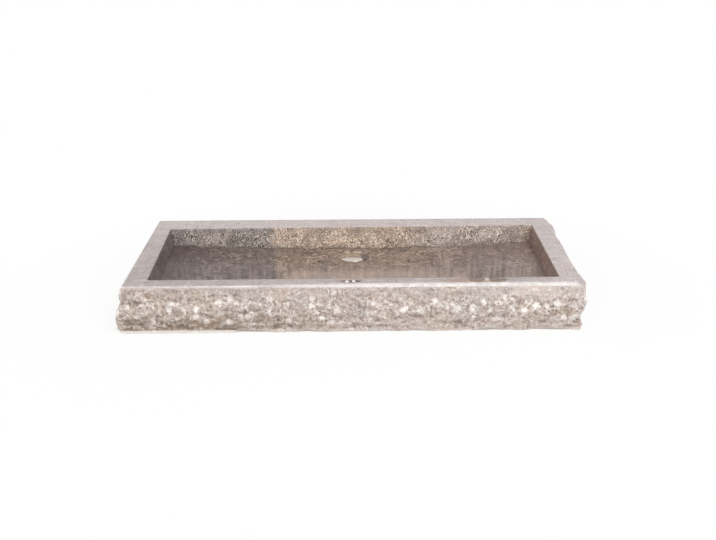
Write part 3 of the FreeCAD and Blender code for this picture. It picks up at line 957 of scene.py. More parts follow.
# The cap's chrome, with a painted dark reflection on its right side.
CAP_CHROME = Metal("chrome_cap", (0.62, 0.55, 0.49), 0.11, 0.08, 0.35,
                   ((0.0265, 0.084, 0.050), (0.0105, 0.026, 0.01)))
BRASS = Metal("brass_turned", (0.70, 0.52, 0.25), 0.26, 0.12, 0.6)
STEEL = Metal("steel_bright", (0.58, 0.58, 0.59), 0.22, 0.10, 0.5)
RUBBER = Moulded("rubber_black", (0.030, 0.030, 0.031), (0.10, 0.095, 0.09), 0.62, 0.0012)
WHITE_PLASTIC = Moulded("plastic_white", (0.78, 0.78, 0.76), (0.60, 0.59, 0.56), 0.42, 0.0010)
ACETAL = Moulded("acetal_ivory", (0.80, 0.78, 0.71), (0.62, 0.60, 0.54), 0.30, 0.0008)


def finish_piece(mesh: bmesh.types.BMesh, name: str, materials: Iterable[bpy.types.Material],
                 sharp_deg: float) -> bpy.types.Object:
    """Turns a bmesh into an object at the origin.

    Args:
        mesh: The bmesh, which is freed.
        name: The piece's name.
        materials: Its material slots, in order.
        sharp_deg: The angle from which an edge shows as sharp.

    Returns:
        The object, linked to the scene.
    """
    data = bpy.data.meshes.new(name)
    mesh.to_mesh(data)
    mesh.free()
    for material in materials:
        data.materials.append(material)
    data.shade_smooth()
    data.set_sharp_from_angle(angle=math.radians(sharp_deg))
    piece = bpy.data.objects.new(name, data)
    bpy.context.scene.collection.objects.link(piece)
    LOG.info("%s: %d faces", name, len(data.polygons))
    return piece


@dataclass(frozen=True)
class RimPit:
    """A natural pit in the front of the rim, with two crystals in it and its inside darkened as painted
    shade.
    """

    middle: Pair = (-0.003, -0.2030)
    half: Pair = (0.024, 0.0095)
    depth: float = 0.0036
    ragged: float = 0.55
    ragged_turn: float = 2.6
    segments: int = 64
    rings: tuple[float, ...] = (0.93, 0.84, 0.72, 0.60, 0.48, 0.36, 0.24, 0.12)
    crystals: tuple[Pair, ...] = ((-0.0122, -0.2030), (0.0012, -0.2020))
    crystal_reach: Pair = (0.0044, 0.0075)
    crystal_rise: float = 0.0030
    grain: float = 0.004
    grain_share: float = 0.4
    # Where the pit's painted shade sets in and where it is full, as shares of the mouth's reach.
    shade_from: Pair = (1.05, 0.60)

    def mouth(self, turn: float) -> Vector:
        """The reach of the pit's uneven mouth from its middle, at an angle.

        Args:
            turn: The angle, in radians.

        Returns:
            The reach, in plan.
        """
        spoke = Vector((math.cos(turn), math.sin(turn)))
        around = Vector((self.ragged_turn * spoke.x, self.ragged_turn * spoke.y, 4.0))
        uneven = 1.0 + self.ragged * noise.noise(around)
        return Vector((self.half[0] * spoke.x, self.half[1] * spoke.y)) * uneven

    def crystal(self, x: float, y: float) -> float:
        """How much of a crystal is at a place, from 0 to 1."""
        wide, deep = self.crystal_reach
        return smooth(1.0, 0.4, min(math.hypot((x - cx) / wide, (y - cy) / deep) for cx, cy in self.crystals))

    def sink(self, x: float, y: float, ring: float) -> float:
        """How far the pit's floor lies under the rim.

        Args:
            x: The place along the length.
            y: The place from front to back.
            ring: The share of the mouth's reach there.

        Returns:
            The depth.
        """
        rough = 1.0 + self.grain_share * noise.noise(Vector((x, y, 0.0)) / self.grain)
        crystal = self.crystal_rise * self.crystal(x, y) * (1.0 - ring ** 4)
        return self.depth * (1.0 - ring ** 2) * rough - crystal


@dataclass
class HewnLattice:
    """The coarse chips of the split sides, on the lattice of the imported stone's facets.

    Columns run counter-clockwise round the rim from its front left corner, and rows run up from the base.
    """

    pitch: float = 0.030
    relief: float = 0.003
    row_shares: tuple[float, ...] = (0.00, 0.10, 0.19, 0.32, 0.45, 0.62, 0.79)
    front_mm: tuple[float, ...] = (1.0, 4.0, 6.0, 7.0, 7.0, 6.0, 5.0)
    back_mm: tuple[float, ...] = (1.0, 5.0, 7.0, 8.0, 7.0, 6.0, 5.0)
    left_mm: tuple[float, ...] = (9.0, 16.0, 20.0, 19.0, 16.0, 11.0, 7.0)
    right_mm: tuple[float, ...] = (-6.0, -1.0, -2.0, -4.0, 4.0, 7.0, 5.0)
    blow_turn: Pair = (12.9898, 78.233)
    blow_scale: float = 43758.5453
    corners: list[int] = field(default_factory=list)
    feet: list[Vector] = field(default_factory=list)
    outs: list[Vector] = field(default_factory=list)
    levels: list[float] = field(default_factory=list)
    rows: list[list[Vector]] = field(default_factory=list)

    def __post_init__(self) -> None:
        """Works out the lattice's points."""
        signs = ((-1, -1), (1, -1), (1, 1), (-1, 1))
        posts = [Vector((x * RIM.length / 2, y * RIM.depth / 2)) for x, y in signs]
        faces = [Vector(face) for face in ((0, -1), (1, 0), (0, 1), (-1, 0))]
        for k, post in enumerate(posts):
            side = posts[(k + 1) % 4] - post
            count = round(side.length / self.pitch)
            self.corners.append(len(self.feet))
            self.feet += [post + side * j / count for j in range(count)]
            self.outs += [faces[k] + faces[k - 1]] + [faces[k]] * (count - 1)
        for row, share in enumerate(self.row_shares):
            self.levels.append(share * RIM.height)
            self.rows.append([self._blow(k, row) for k in range(len(self.feet))])
        self.levels.append(RIM.split_top)
        self.rows.append([out * RIM.arris for out in self.outs])

    def _blow(self, column: int, row: int) -> Vector:
        """How far a point of the lattice stands out past the rim.

        Args:
            column: Its column.
            row: Its row.

        Returns:
            The shift, in plan.
        """
        out = self.outs[column]
        by_column, by_row = self.blow_turn
        blow = 2 * (math.sin(by_column * column + by_row * row) * self.blow_scale % 1) - 1
        bulge_x = MM * (self.left_mm if out.x < 0 else self.right_mm)[row] + self.relief * blow
        bulge_y = MM * (self.front_mm if out.y < 0 else self.back_mm)[row] + self.relief * blow
        return Vector((out.x * bulge_x, out.y * bulge_y))

    def _columns(self, way: float) -> tuple[int, int, float]:
        """The two columns beside a place, and how far it lies from the first to the second."""
        return int(way), (int(way) + 1) % len(self.feet), way % 1.0

    def foot(self, way: float) -> tuple[Vector, Vector]:
        """The rim's outline and the outward direction, at a place counted in columns."""
        near, far, share = self._columns(way)
        return self.feet[near].lerp(self.feet[far], share), self.outs[near].lerp(self.outs[far], share)

    def from_corner(self, way: float) -> float:
        """How many columns away the nearest corner is."""
        return min(abs(way - corner) for corner in (*self.corners, len(self.feet)))

    def shift(self, way: float, z: float) -> Vector:
        """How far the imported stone's flat facets stand out past the rim.

        Args:
            way: The place round the rim, in columns.
            z: The height.

        Returns:
            The shift, in plan.
        """
        row = max(r for r, level in enumerate(self.levels[:-1]) if level <= z)
        up = (z - self.levels[row]) / (self.levels[row + 1] - self.levels[row])
        near, far, along = self._columns(way)
        low, high = self.rows[row], self.rows[row + 1]
        if (near + row) % 2:
            if along >= up:
                return low[near] + (low[far] - low[near]) * along + (high[far] - low[far]) * up
            return low[near] + (high[near] - low[near]) * up + (high[far] - high[near]) * along
        if along + up <= 1.0:
            return low[near] + (low[far] - low[near]) * along + (high[near] - low[near]) * up
        return high[far] + (high[near] - high[far]) * (1.0 - along) + (low[far] - high[far]) * (1.0 - up)


@dataclass(frozen=True)
class Scoops:
    """Conchoidal chips: scooped cells, each with a tilt of its own, and sharp ridges between them."""

    size: float
    seed: float
    weight: float
    hollow: float = 1.1
    sink: float = 0.35
    lean: float = 1.3
    ledge: float = 0.5

    def height(self, point: Vector) -> float:
        """How far the stone stands out.

        Args:
            point: The place on the stone.

        Returns:
            The height, about -1 to 1 times the weight.
        """
        spot = point / self.size + Vector((self.seed, 1.7 * self.seed, -self.seed))
        reach, centres = noise.voronoi(spot)
        tilt = noise.cell_vector(centres[0] * 9.7) - Vector((0.5, 0.5, 0.5))
        scoop = self.hollow * reach[0] ** 2 - self.sink
        return self.weight * (scoop + self.lean * tilt.dot(spot - centres[0]) + self.ledge * tilt.z)


@dataclass(frozen=True)
class SplitRelief:
    """The fine relief of the split sides: chips and grain, upright marks near the top and beds low down.

    Weights are in millimetres. Shares of the height run from 0 at the base to 1 at the arris.
    """

    chips: tuple[Scoops, ...] = (Scoops(0.0165, 8.1, 1.9), Scoops(0.0080, 4.4, 1.1))
    grain: float = 0.005
    grain_weight: float = 0.6
    mark: Pair = (0.006, 0.03)
    mark_weight: float = 0.5
    bed: Pair = (0.03, 0.006)
    bed_weight: float = 0.35
    upper: Pair = (0.74, 0.92)
    upper_calm: float = 0.45
    lower: Pair = (0.42, 0.18)
    ends: Pair = (1.0, 0.93)
    cleft_z: float = 0.020
    cleft_waver: float = 0.014
    cleft_run: float = 0.07
    cleft_gap: float = 0.06
    cleft_width: float = 0.0016

    def _cleft(self, point: Vector) -> float:
        """The cleft along the bed line, which wavers and is broken in places.

        Args:
            point: The place on the stone.

        Returns:
            1 in the cleft and 0 away from it.
        """
        flat = Vector((point.x, point.y, 0.0))
        line = self.cleft_z + self.cleft_waver * noise.fractal(flat / self.cleft_run, 1.0, 2.0, 3)
        shown = smooth(0.0, 0.25, noise.noise(flat / self.cleft_gap + Vector((4.0, 1.0, 0.0))))
        return shown * math.exp(-((point.z - line) / self.cleft_width) ** 2)

    @staticmethod
    def _grained(point: Vector, wide: float, high: float) -> float:
        """Noise of one size in plan and another in height."""
        return noise.noise(Vector((point.x / wide, point.y / wide, point.z / high)))

    def height(self, point: Vector) -> float:
        """How far the stone stands out of its coarse facets.

        Args:
            point: The place on the facets.

        Returns:
            The height, in metres.
        """
        share = point.z / RIM.split_top
        top = smooth(*self.upper, share)
        fine = self.grain_weight * noise.fractal(point / self.grain, 0.8, 2.0, 3)
        relief = (1.0 - self.upper_calm * top) * (sum(chip.height(point) for chip in self.chips) + fine)
        relief += self.mark_weight * top * self._grained(point, *self.mark)
        relief += self.bed_weight * smooth(*self.lower, share) * self._grained(point, *self.bed)
        return MM * (relief - self._cleft(point)) * smooth(*self.ends, share)


@dataclass
class StoneBlock:
    """The carved block: split sides, honed rim, polished basin and sawn underside.

    edge_waver moves the rim's right edge, by the place from front to back. left_corner and right_corner move
    the outline of the front corners, by height. All three give millimetres.
    """

    inner_arris: float = 0.0015
    inner_break: float = 0.4
    rim_front_left: float = 0.0355
    rim_front_right: float = 0.0390
    rim_back_left: float = 0.0660
    rim_back_right: float = 0.0520
    rim_left_front: float = 0.0420
    rim_left_back: float = 0.0345
    rim_right: float = 0.0410
    draft_deg: float = 12.0
    floor: float = 0.0485
    end_rise: float = 0.013
    fall: float = 0.002
    recess_r: float = 0.03295
    recess_z: float = 0.0445
    hole_r: float = 0.02245
    web_z: float = 0.027
    hollow_r: float = 0.05196
    cell: float = 0.005
    drain_margin: float = 2.2
    wall_rows: int = 6
    settling: int = 3
    split_cell: float = 0.002
    arris_steps: Profile = ((0.35, 0.10), (0.75, 0.55), (1.0, 1.0))
    # Smoothing passes, and the ramp that turns the split sides' relief into painted highlight on ridges and
    # painted shade in crevices.
    shading_passes: int = 14
    relief_shading_ramp: Pair = (0.15 * MM, 0.9 * MM)
    edge_waver: Profile = (
        (-0.21, 2.5), (-0.19, 1.5), (-0.16, -1.5), (-0.07, -3.0), (0.0, -1.5), (0.04, -0.8), (0.10, -3.2),
        (0.14, 2.0), (0.165, 2.8), (0.195, -1.5), (0.225, -6.5))
    worn_corner: float = 0.016
    left_corner: Profile = (
        (0.0, 4.0), (0.006, 3.0), (0.013, 0.0), (0.054, 0.0), (0.069, -4.5), (0.085, -1.5), (0.093, 0.0))
    right_corner: Profile = (
        (0.0, -3.0), (0.004, 0.5), (0.013, 3.5), (0.022, 0.5), (0.033, -4.5), (0.043, 0.0))
    corner_reach: float = 2.5
    sawn_foot: Pair = (-0.440, -0.235)
    sawn_fade: float = 0.01
    sawn_top: float = 0.0045
    sawn_reach: float = 0.0065
    sawn_bright: float = 0.65
    nick: float = 0.0011
    nick_size: float = 0.012
    nick_kept: Pair = (0.1, 0.5)
    # The arris's white is painted highlight, broken up in patches of this size.
    arris_highlight_size: float = 0.05
    arris_highlight_kept: Pair = (-0.2, 0.3)
    arris_highlight_least: float = 0.34
    arris_highlight_more: float = 0.36
    stray: float = 0.35
    stray_size: float = 0.022
    lift: float = 0.005
    lift_size: float = 0.018
    lift_seed: Triple = (3.0, 5.0, 7.0)
    lift_from: Pair = (0.0, 0.1)
    lift_until: Pair = (1.0, 0.85)
    waver_from: Pair = (0.55, 1.0)
    sharp_deg: float = 40.0
    lattice: HewnLattice = field(default_factory=HewnLattice)
    relief: SplitRelief = SplitRelief()
    pit: RimPit = RimPit()
    mesh: bmesh.types.BMesh = field(default_factory=bmesh.new)

    def build(self) -> bpy.types.Object:
        """Builds, dresses and places the stone.

        Returns:
            The piece.
        """
        for name in ("out_x", "out_y", "way", "bright", "crevice", "ridge"):
            self.mesh.verts.layers.float.new(name)
        drain_edges, rim_edges = self._carve_basin()
        hollow_edges = self._bore_drain(drain_edges)
        outer_edges, base_edges = self._hew_sides()
        pit_edges = self._open_pit()
        self._close(rim_edges + outer_edges + pit_edges, Zone.HONED)
        self._close(hollow_edges + base_edges, Zone.SAWN)
        self._sink_pit(pit_edges)
        bmesh.ops.recalc_face_normals(self.mesh, faces=self.mesh.faces)
        self.mesh.normal_update()
        for face in self.mesh.faces:
            # Walls that face along the length take the darker copy of the stone, as painted shade.
            if face.material_index == Zone.WALL and abs(face.normal.x) > abs(face.normal.y):
                face.material_index = Zone.END
        # Marks ridges and crevices for the painted highlight and shade of the split sides.
        self._mark_relief_shading()
        for layer in self._layers("out_x", "out_y", "way"):
            self.mesh.verts.layers.float.remove(layer)
        piece = finish_piece(self.mesh, "carved_stone", [STONE[zone].make() for zone in Zone], self.sharp_deg)
        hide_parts("stone_basin")
        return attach(piece, Body.BASIN.value)

    def _layers(self, *names: str) -> Iterable[bmesh.types.BMLayerItem]:
        """Number layers of the vertices, each looked up when its turn comes."""
        return (self.mesh.verts.layers.float[name] for name in names)

    @staticmethod
    def _dress(made: Iterable, zone: Zone) -> None:
        """Gives the faces among some new parts of the mesh a finish."""
        for face in (f for f in made if isinstance(f, bmesh.types.BMFace)):
            face.material_index = zone

    def _pull(self, edges: list, zone: Zone) -> tuple[list, list]:
        """Extrudes a loop of edges.

        Args:
            edges: The loop.
            zone: The finish of the new faces.

        Returns:
            The new vertices and the new loop.
        """
        made = bmesh.ops.extrude_edge_only(self.mesh, edges=edges)["geom"]
        self._dress(made, zone)
        verts = [v for v in made if isinstance(v, bmesh.types.BMVert)]
        return verts, [e for e in made if isinstance(e, bmesh.types.BMEdge) and e.is_boundary]

    def _ring(self, segments: int) -> tuple[list, list]:
        """The vertices and the edges of a new circle with a radius of 1."""
        verts = bmesh.ops.create_circle(self.mesh, segments=segments, radius=1.0)["verts"]
        return verts, list({e for v in verts for e in v.link_edges})

    def _close(self, edges: list, zone: Zone) -> None:
        """Fills the flat band between loops of edges, and gives it a finish."""
        made = bmesh.ops.triangle_fill(self.mesh, edges=edges, use_beauty=True, use_dissolve=False)["geom"]
        self._dress(made, zone)

    def _floor_height(self, x: float, y: float) -> float:
        """The basin floor's height at a place: dished along its length, with a fall to the back."""
        dish = self.end_rise * (2 * x / RIM.length) ** 2
        return self.floor + dish + self.fall * (0.5 - y / RIM.depth)

    def _basin_point(self, u: float, v: float, inset: float) -> Pair:
        """A place on the basin's skewed outline.

        Args:
            u: The share of the way from left to right.
            v: The share of the way from front to back.
            inset: How far the outline is drawn in.

        Returns:
            The place, in plan.
        """
        left = -RIM.length / 2 + self.rim_left_front + (self.rim_left_back - self.rim_left_front) * v
        right = RIM.length / 2 - self.rim_right
        front = -RIM.depth / 2 + self.rim_front_left + (self.rim_front_right - self.rim_front_left) * u
        back = RIM.depth / 2 - self.rim_back_left - (self.rim_back_right - self.rim_back_left) * u
        return left + inset + (right - left - 2 * inset) * u, front + inset + (back - front - 2 * inset) * v

    def _carve_basin(self) -> tuple[list, list]:
        """Makes the basin's floor and walls.

        Returns:
            The edges of the hole left for the drain, and those where the walls meet the rim.
        """
        bm = self.mesh
        out_x, out_y, crevice = self._layers("out_x", "out_y", "crevice")
        across = round((RIM.length - self.rim_left_front - self.rim_right) / self.cell)
        deep = round((RIM.depth - self.rim_front_left - self.rim_back_left) / self.cell)
        bmesh.ops.create_grid(bm, x_segments=across, y_segments=deep, size=0.5)
        draft = math.tan(math.radians(self.draft_deg))
        edge = 0.4999
        for vert in bm.verts:
            u, v = vert.co.x + 0.5, vert.co.y + 0.5
            vert[out_x] = (vert.co.x > edge) - (vert.co.x < -edge)
            vert[out_y] = (vert.co.y > edge) - (vert.co.y < -edge)
            # The floor's edge carries the painted shade where it meets the walls.
            vert[crevice] = abs(vert[out_x]) or abs(vert[out_y])
            inset = 0.0
            for _ in range(self.settling):
                x, y = self._basin_point(u, v, inset)
                inset = (RIM.height - self._floor_height(x, y)) * draft
            vert.co = (x, y, self._floor_height(x, y))
        self._dress(bm.faces, Zone.FLOOR)
        half = self.recess_r + self.drain_margin * self.cell
        drain = Vector((0.0, RIM.drain_y))
        spokes = {face: face.calc_center_median().xy - drain for face in bm.faces}
        inside = [face for face, spoke in spokes.items() if max(abs(spoke.x), abs(spoke.y)) < half]
        bmesh.ops.delete(bm, geom=inside, context="FACES")
        rim = [e for e in bm.edges if e.is_boundary and all(v[out_x] or v[out_y] for v in e.verts)]
        outer = set(rim)
        hole = [e for e in bm.edges if e.is_boundary and e not in outer]
        return hole, self._raise_walls(rim, draft)

    def _raise_walls(self, rim: list, draft: float) -> list:
        """Raises the basin's walls from the floor's edge, and breaks their upper edge.

        Args:
            rim: The floor's edge.
            draft: How far the walls lean out, per unit of height.

        Returns:
            The edges where the walls meet the rim.
        """
        for left in range(self.wall_rows, 0, -1):
            rim = self._raise_row(rim, Zone.WALL, RIM.height - self.inner_arris, left, draft)
        lean = self.inner_break / (1.0 - self.inner_break)
        rim = self._raise_row(rim, Zone.WALL, RIM.height - self.inner_break * self.inner_arris, 1, lean)
        return self._raise_row(rim, Zone.HONED, RIM.height, 1, 1.0 / lean)

    def _raise_row(self, edges: list, zone: Zone, top: float, left: int, lean: float) -> list:
        """Pulls a loop of edges out and up by one row.

        Args:
            edges: The loop.
            zone: The finish of the new faces.
            top: The height that the rows end at.
            left: How many rows are left, this one among them.
            lean: How far the row moves away from the basin's middle, per unit of height.

        Returns:
            The new loop.
        """
        out_x, out_y, crevice = self._layers("out_x", "out_y", "crevice")
        verts, loop = self._pull(edges, zone)
        for vert in verts:
            rise = (top - vert.co.z) / left
            vert[crevice] = 0.0
            vert.co += Vector((vert[out_x] * lean, vert[out_y] * lean, 1.0)) * rise
        return loop

    def _bore_drain(self, hole: list) -> list:
        """Makes the flange's recess, the drain hole and the hollow under it.

        Args:
            hole: The edges of the square hole in the floor's grid.

        Returns:
            The edges where the hollow meets the base.
        """
        ring, edges = self._ring(len(hole))
        for vert in ring:
            x, y = vert.co.x * self.recess_r, vert.co.y * self.recess_r + RIM.drain_y
            vert.co = (x, y, self._floor_height(x, y))
        self._dress(bmesh.ops.bridge_loops(self.mesh, edges=hole + edges)["faces"], Zone.FLOOR)
        for radius, z in ((self.recess_r, self.recess_z), (self.hole_r, self.recess_z),
                          (self.hole_r, self.web_z), (self.hollow_r, self.web_z), (self.hollow_r, 0.0)):
            verts, edges = self._pull(edges, Zone.SAWN)
            for vert in verts:
                flat = Vector((vert.co.x, vert.co.y - RIM.drain_y)).normalized() * radius
                vert.co = (flat.x, flat.y + RIM.drain_y, z)
        return edges

    def _hew_sides(self) -> tuple[list, list]:
        """Makes the arris and the split sides.

        Returns:
            The edges of the rim's outline and those of the base's.
        """
        way, = self._layers("way")
        columns = len(self.lattice.feet)
        around = columns * round(self.lattice.pitch / self.split_cell)
        ring, rim_edges = self._ring(around)
        for vert in ring:
            turn = math.atan2(vert.co.y, vert.co.x) / (2 * math.pi) % 1.0
            vert[way] = int(turn * around + 0.25) % around * columns / around
        self._set_arris(ring, RIM.height, 0.0)
        edges = rim_edges
        for share, down in self.arris_steps:
            verts, edges = self._pull(edges, Zone.HONED)
            self._set_arris(verts, RIM.height - RIM.arris * down, share)
        rows = round(RIM.split_top / self.split_cell)
        for row in range(1, rows + 1):
            verts, edges = self._pull(edges, Zone.SPLIT)
            self._set_split(verts, RIM.split_top * (1 - row / rows))
        LOG.info("split sides: %d columns, %d rows", around, rows)
        return rim_edges, edges

    def _edge_waver(self, foot: Vector, out: Vector) -> Vector:
        """How far the uneven right edge of the rim strays from its line, at a foot on that line.

        Args:
            foot: The place on the rim's outline.
            out: The outward direction there.

        Returns:
            The shift in plan, with the front right corner worn round.
        """
        waver = Vector((MM * between(self.edge_waver, foot.y) * max(0.0, out.x), 0.0))
        centre = Vector((RIM.length / 2 - self.worn_corner, self.worn_corner - RIM.depth / 2))
        spoke = foot - centre
        if spoke.x > 0.0 > spoke.y:
            waver -= spoke.normalized() * max(0.0, spoke.length - self.worn_corner)
        return waver

    def _set_arris(self, verts: Iterable, z: float, share: float) -> None:
        """Lays a ring of vertices on the nicked arris, and marks the arris's painted highlight.

        Args:
            verts: The ring.
            z: The height.
            share: How far down the arris it lies, from 0 at the rim to 1 at the split face.
        """
        way, bright = self._layers("way", "bright")
        corner = Vector((RIM.length / 2, -RIM.depth / 2))
        crest = 4.0 * share * (1.0 - share)
        for vert in verts:
            foot, out = self.lattice.foot(vert[way])
            spot = Vector((foot.x, foot.y, 0.0))
            nick = smooth(*self.nick_kept, noise.noise(spot / self.nick_size))
            edge = foot + out * share * (RIM.arris - self.nick * nick) + self._edge_waver(foot, out)
            vert.co = (edge.x, edge.y, z)
            # Painted highlight along the middle of the arris, left off near the worn corner.
            shown = smooth(self.worn_corner / 2, 2 * self.worn_corner, (foot - corner).length)
            highlit = smooth(*self.arris_highlight_kept, noise.noise(spot / self.arris_highlight_size))
            vert[bright] = crest * shown * (self.arris_highlight_least + self.arris_highlight_more * highlit)

    def _set_split(self, verts: Iterable, z: float) -> None:
        """Lays a ring of vertices on the split face.

        Args:
            verts: The ring.
            z: The height.
        """
        way, bright = self._layers("way", "bright")
        share = z / RIM.split_top
        for vert in verts:
            foot, out = self.lattice.foot(vert[way])
            spot = Vector((foot.x, foot.y, z))
            calm = smooth(0.0, 1.0, self.lattice.from_corner(vert[way]))
            stray = self.stray * noise.noise(spot / self.stray_size) * calm
            lift = self.lift * noise.noise(spot / self.lift_size + Vector(self.lift_seed))
            lift = lift * smooth(*self.lift_from, share) * smooth(*self.lift_until, share)
            level = min(max(0.0, z + lift), RIM.split_top)
            shift = self.lattice.shift((vert[way] + stray) % len(self.lattice.feet), level)
            relief = self.relief.height(spot + Vector((shift.x, shift.y, 0.0)))
            sawn = self._sawn(spot, out)
            relief = relief * (1.0 - sawn) + sawn * (shift.y + self.sawn_reach)
            vert[bright] = self.sawn_bright * sawn
            waver = self._edge_waver(foot, out) * smooth(*self.waver_from, share)
            face = foot + shift + out * relief + waver
            vert.co = (face.x + self._corner_trim(vert[way], z), face.y, z)

    def _corner_trim(self, way: float, z: float) -> float:
        """How far the split face moves along the length, to give the front corners their outline.

        Args:
            way: The place round the rim, in columns.
            z: The height.

        Returns:
            The move.
        """
        from_left = min(way, len(self.lattice.feet) - way)
        from_right = abs(way - self.lattice.corners[1])
        left = between(self.left_corner, z) * smooth(self.corner_reach, 0.0, from_left)
        right = between(self.right_corner, z) * smooth(self.corner_reach, 0.0, from_right)
        return MM * (right - left)

    def _sawn(self, spot: Vector, out: Vector) -> float:
        """The strip that the saw has left at the foot of the front.

        Args:
            spot: The place on the side.
            out: The outward direction there.

        Returns:
            1 on the strip and 0 elsewhere.
        """
        if out.y > -0.5 or spot.z > self.sawn_top:
            return 0.0
        left, right = self.sawn_foot
        return smooth(left - self.sawn_fade, left, spot.x) * smooth(right + self.sawn_fade, right, spot.x)

    def _open_pit(self) -> list:
        """Draws the pit's mouth in the rim.

        Returns:
            Its edges.
        """
        ring, edges = self._ring(self.pit.segments)
        for vert in ring:
            mouth = self.pit.mouth(math.atan2(vert.co.y, vert.co.x))
            vert.co = (self.pit.middle[0] + mouth.x, self.pit.middle[1] + mouth.y, RIM.height)
        return edges

    def _sink_pit(self, edges: list) -> None:
        """Sinks the pit's floor, ring by ring, and marks its crystals and its painted shade.

        Args:
            edges: The edges of its mouth.
        """
        bright, crevice = self._layers("bright", "crevice")
        middle = Vector((*self.pit.middle, RIM.height))
        last = 1.0
        verts: list = []
        for ring in self.pit.rings:
            verts, edges = self._pull(edges, Zone.HONED)
            for vert in verts:
                flat = middle + (vert.co - middle) * ring / last
                vert.co = (flat.x, flat.y, RIM.height - self.pit.sink(flat.x, flat.y, ring))
                vert[bright] = self.pit.crystal(flat.x, flat.y)
                # Painted shade deep in the pit, kept off the crystals.
                vert[crevice] = smooth(*self.pit.shade_from, ring) * (1.0 - vert[bright])
            last = ring
        centre = sum((v.co for v in verts), Vector()) / len(verts)
        bmesh.ops.pointmerge(self.mesh, verts=verts, merge_co=centre)

    def _mark_relief_shading(self) -> None:
        """Marks the split sides' ridges and crevices for their painted highlight and shade: what stands out
        of, or lies under, a smoothed face.
        """
        self.mesh.verts.index_update()
        ridge, crevice = self._layers("ridge", "crevice")
        sides = [v for v in self.mesh.verts if any(f.material_index == Zone.SPLIT for f in v.link_faces)]
        soft = self.mesh.copy()
        soft.verts.ensure_lookup_table()
        moved = [soft.verts[v.index] for v in sides]
        for _ in range(self.shading_passes):
            bmesh.ops.smooth_vert(soft, verts=moved, factor=0.5,
                                  use_axis_x=True, use_axis_y=True, use_axis_z=True)
        for vert, smoothed in zip(sides, moved):
            proud = (vert.co - smoothed.co).dot(vert.normal)
            vert[ridge] = smooth(*self.relief_shading_ramp, proud)
            vert[crevice] = smooth(*self.relief_shading_ramp, -proud)
        soft.free()


@dataclass(frozen=True)
class PlugCap:
    """The domed cap of the waste, with its hub and its rolled edge."""

    radius: float = 0.03095
    low: float = 0.0490
    crown: float = 0.0528
    edge_round: float = 0.0006
    edge_degrees: tuple[float, ...] = (60, 30, 0, -30, -60, -90)
    wall: float = 0.0010
    hub_r: float = 0.007
    hub_z: float = 0.0486
    steps: int = 96
    rows: int = 14
    under_rows: int = 6
    sharp_deg: float = 35.0

    def build(self) -> bpy.types.Object:
        """Builds, dresses and places the cap.

        Returns:
            The piece.
        """
        bm = bmesh.new()
        verts = [bm.verts.new((r, RIM.drain_y, z)) for r, z in self._profile()]
        edges = [bm.edges.new(pair) for pair in zip(verts, verts[1:])]
        bmesh.ops.spin(bm, geom=verts + edges, cent=(0.0, RIM.drain_y, 0.0), axis=(0.0, 0.0, 1.0),
                       angle=2 * math.pi, steps=self.steps, use_merge=True)
        bmesh.ops.remove_doubles(bm, verts=bm.verts, dist=1e-6)
        bmesh.ops.recalc_face_normals(bm, faces=bm.faces)
        piece = finish_piece(bm, "domed_cap", [CAP_CHROME.make()], self.sharp_deg)
        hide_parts("cap")
        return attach(piece, Body.PLUG.value)

    def _profile(self) -> list[Pair]:
        """The cap's half section.

        Returns:
            Radius and height of its points, from the crown over the rolled edge to the hub.
        """
        rise = self.crown - self.low - 2 * self.edge_round
        ball = (self.radius ** 2 + rise ** 2) / (2 * rise)
        centre_z = self.crown - ball
        flat = self.radius - self.edge_round
        inner = self.radius - self.wall
        outside = [flat * k / self.rows for k in range(self.rows + 1)]
        inside = [inner + (self.hub_r - inner) * k / self.under_rows for k in range(self.under_rows + 1)]
        points = [(r, centre_z + math.sqrt(ball ** 2 - r ** 2)) for r in outside]
        for turn in (math.radians(angle) for angle in self.edge_degrees):
            points.append((flat + self.edge_round * math.cos(turn),
                           self.low + self.edge_round * (1 + math.sin(turn))))
        points += [(r, centre_z + math.sqrt((ball - self.wall) ** 2 - r ** 2)) for r in inside]
        return points + [(self.hub_r, self.hub_z), (0.0, self.hub_z)]


@dataclass(frozen=True)
class WasteFittings:
    """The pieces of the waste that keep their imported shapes, and what each is made of."""

    finishes: tuple[tuple[Metal | Moulded, tuple[str, ...]], ...] = (
        (CHROME, ("waste_body",)),
        (BRASS, ("lock_nut", "click_sleeve")),
        (STEEL, ("stem", "stem_clip", "cap_nut", "index_balls", "ball_clip", "return_spring")),
        (RUBBER, ("flange_gasket", "under_gasket", "cap_seal")),
        (WHITE_PLASTIC, ("slip_washer",)),
        (ACETAL, ("sleeve_bush", "index_drum", "seal_carrier")),
    )

    def dress(self) -> None:
        """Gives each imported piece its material."""
        for finish, names in self.finishes:
            material = finish.make()
            for name in names:
                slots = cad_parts[name].data.materials
                slots.clear()
                slots.append(material)
                LOG.info("%s: %s", name, finish.name)


@dataclass(frozen=True)
class SoftLamp:
    """One soft square lamp: where it hangs, what it points at, the length of its side and its watts."""

    name: str
    at: Triple
    to: Triple
    size: float
    power: float

    def hang(self) -> None:
        """Adds the lamp to the scene."""
        data = bpy.data.lights.new(self.name, "AREA")
        data.size = self.size
        data.energy = self.power
        lamp = bpy.data.objects.new(self.name, data)
        bpy.context.scene.collection.objects.link(lamp)
        lamp.location = self.at
        lamp.rotation_euler = (Vector(self.to) - Vector(self.at)).to_track_quat("-Z", "Y").to_euler()


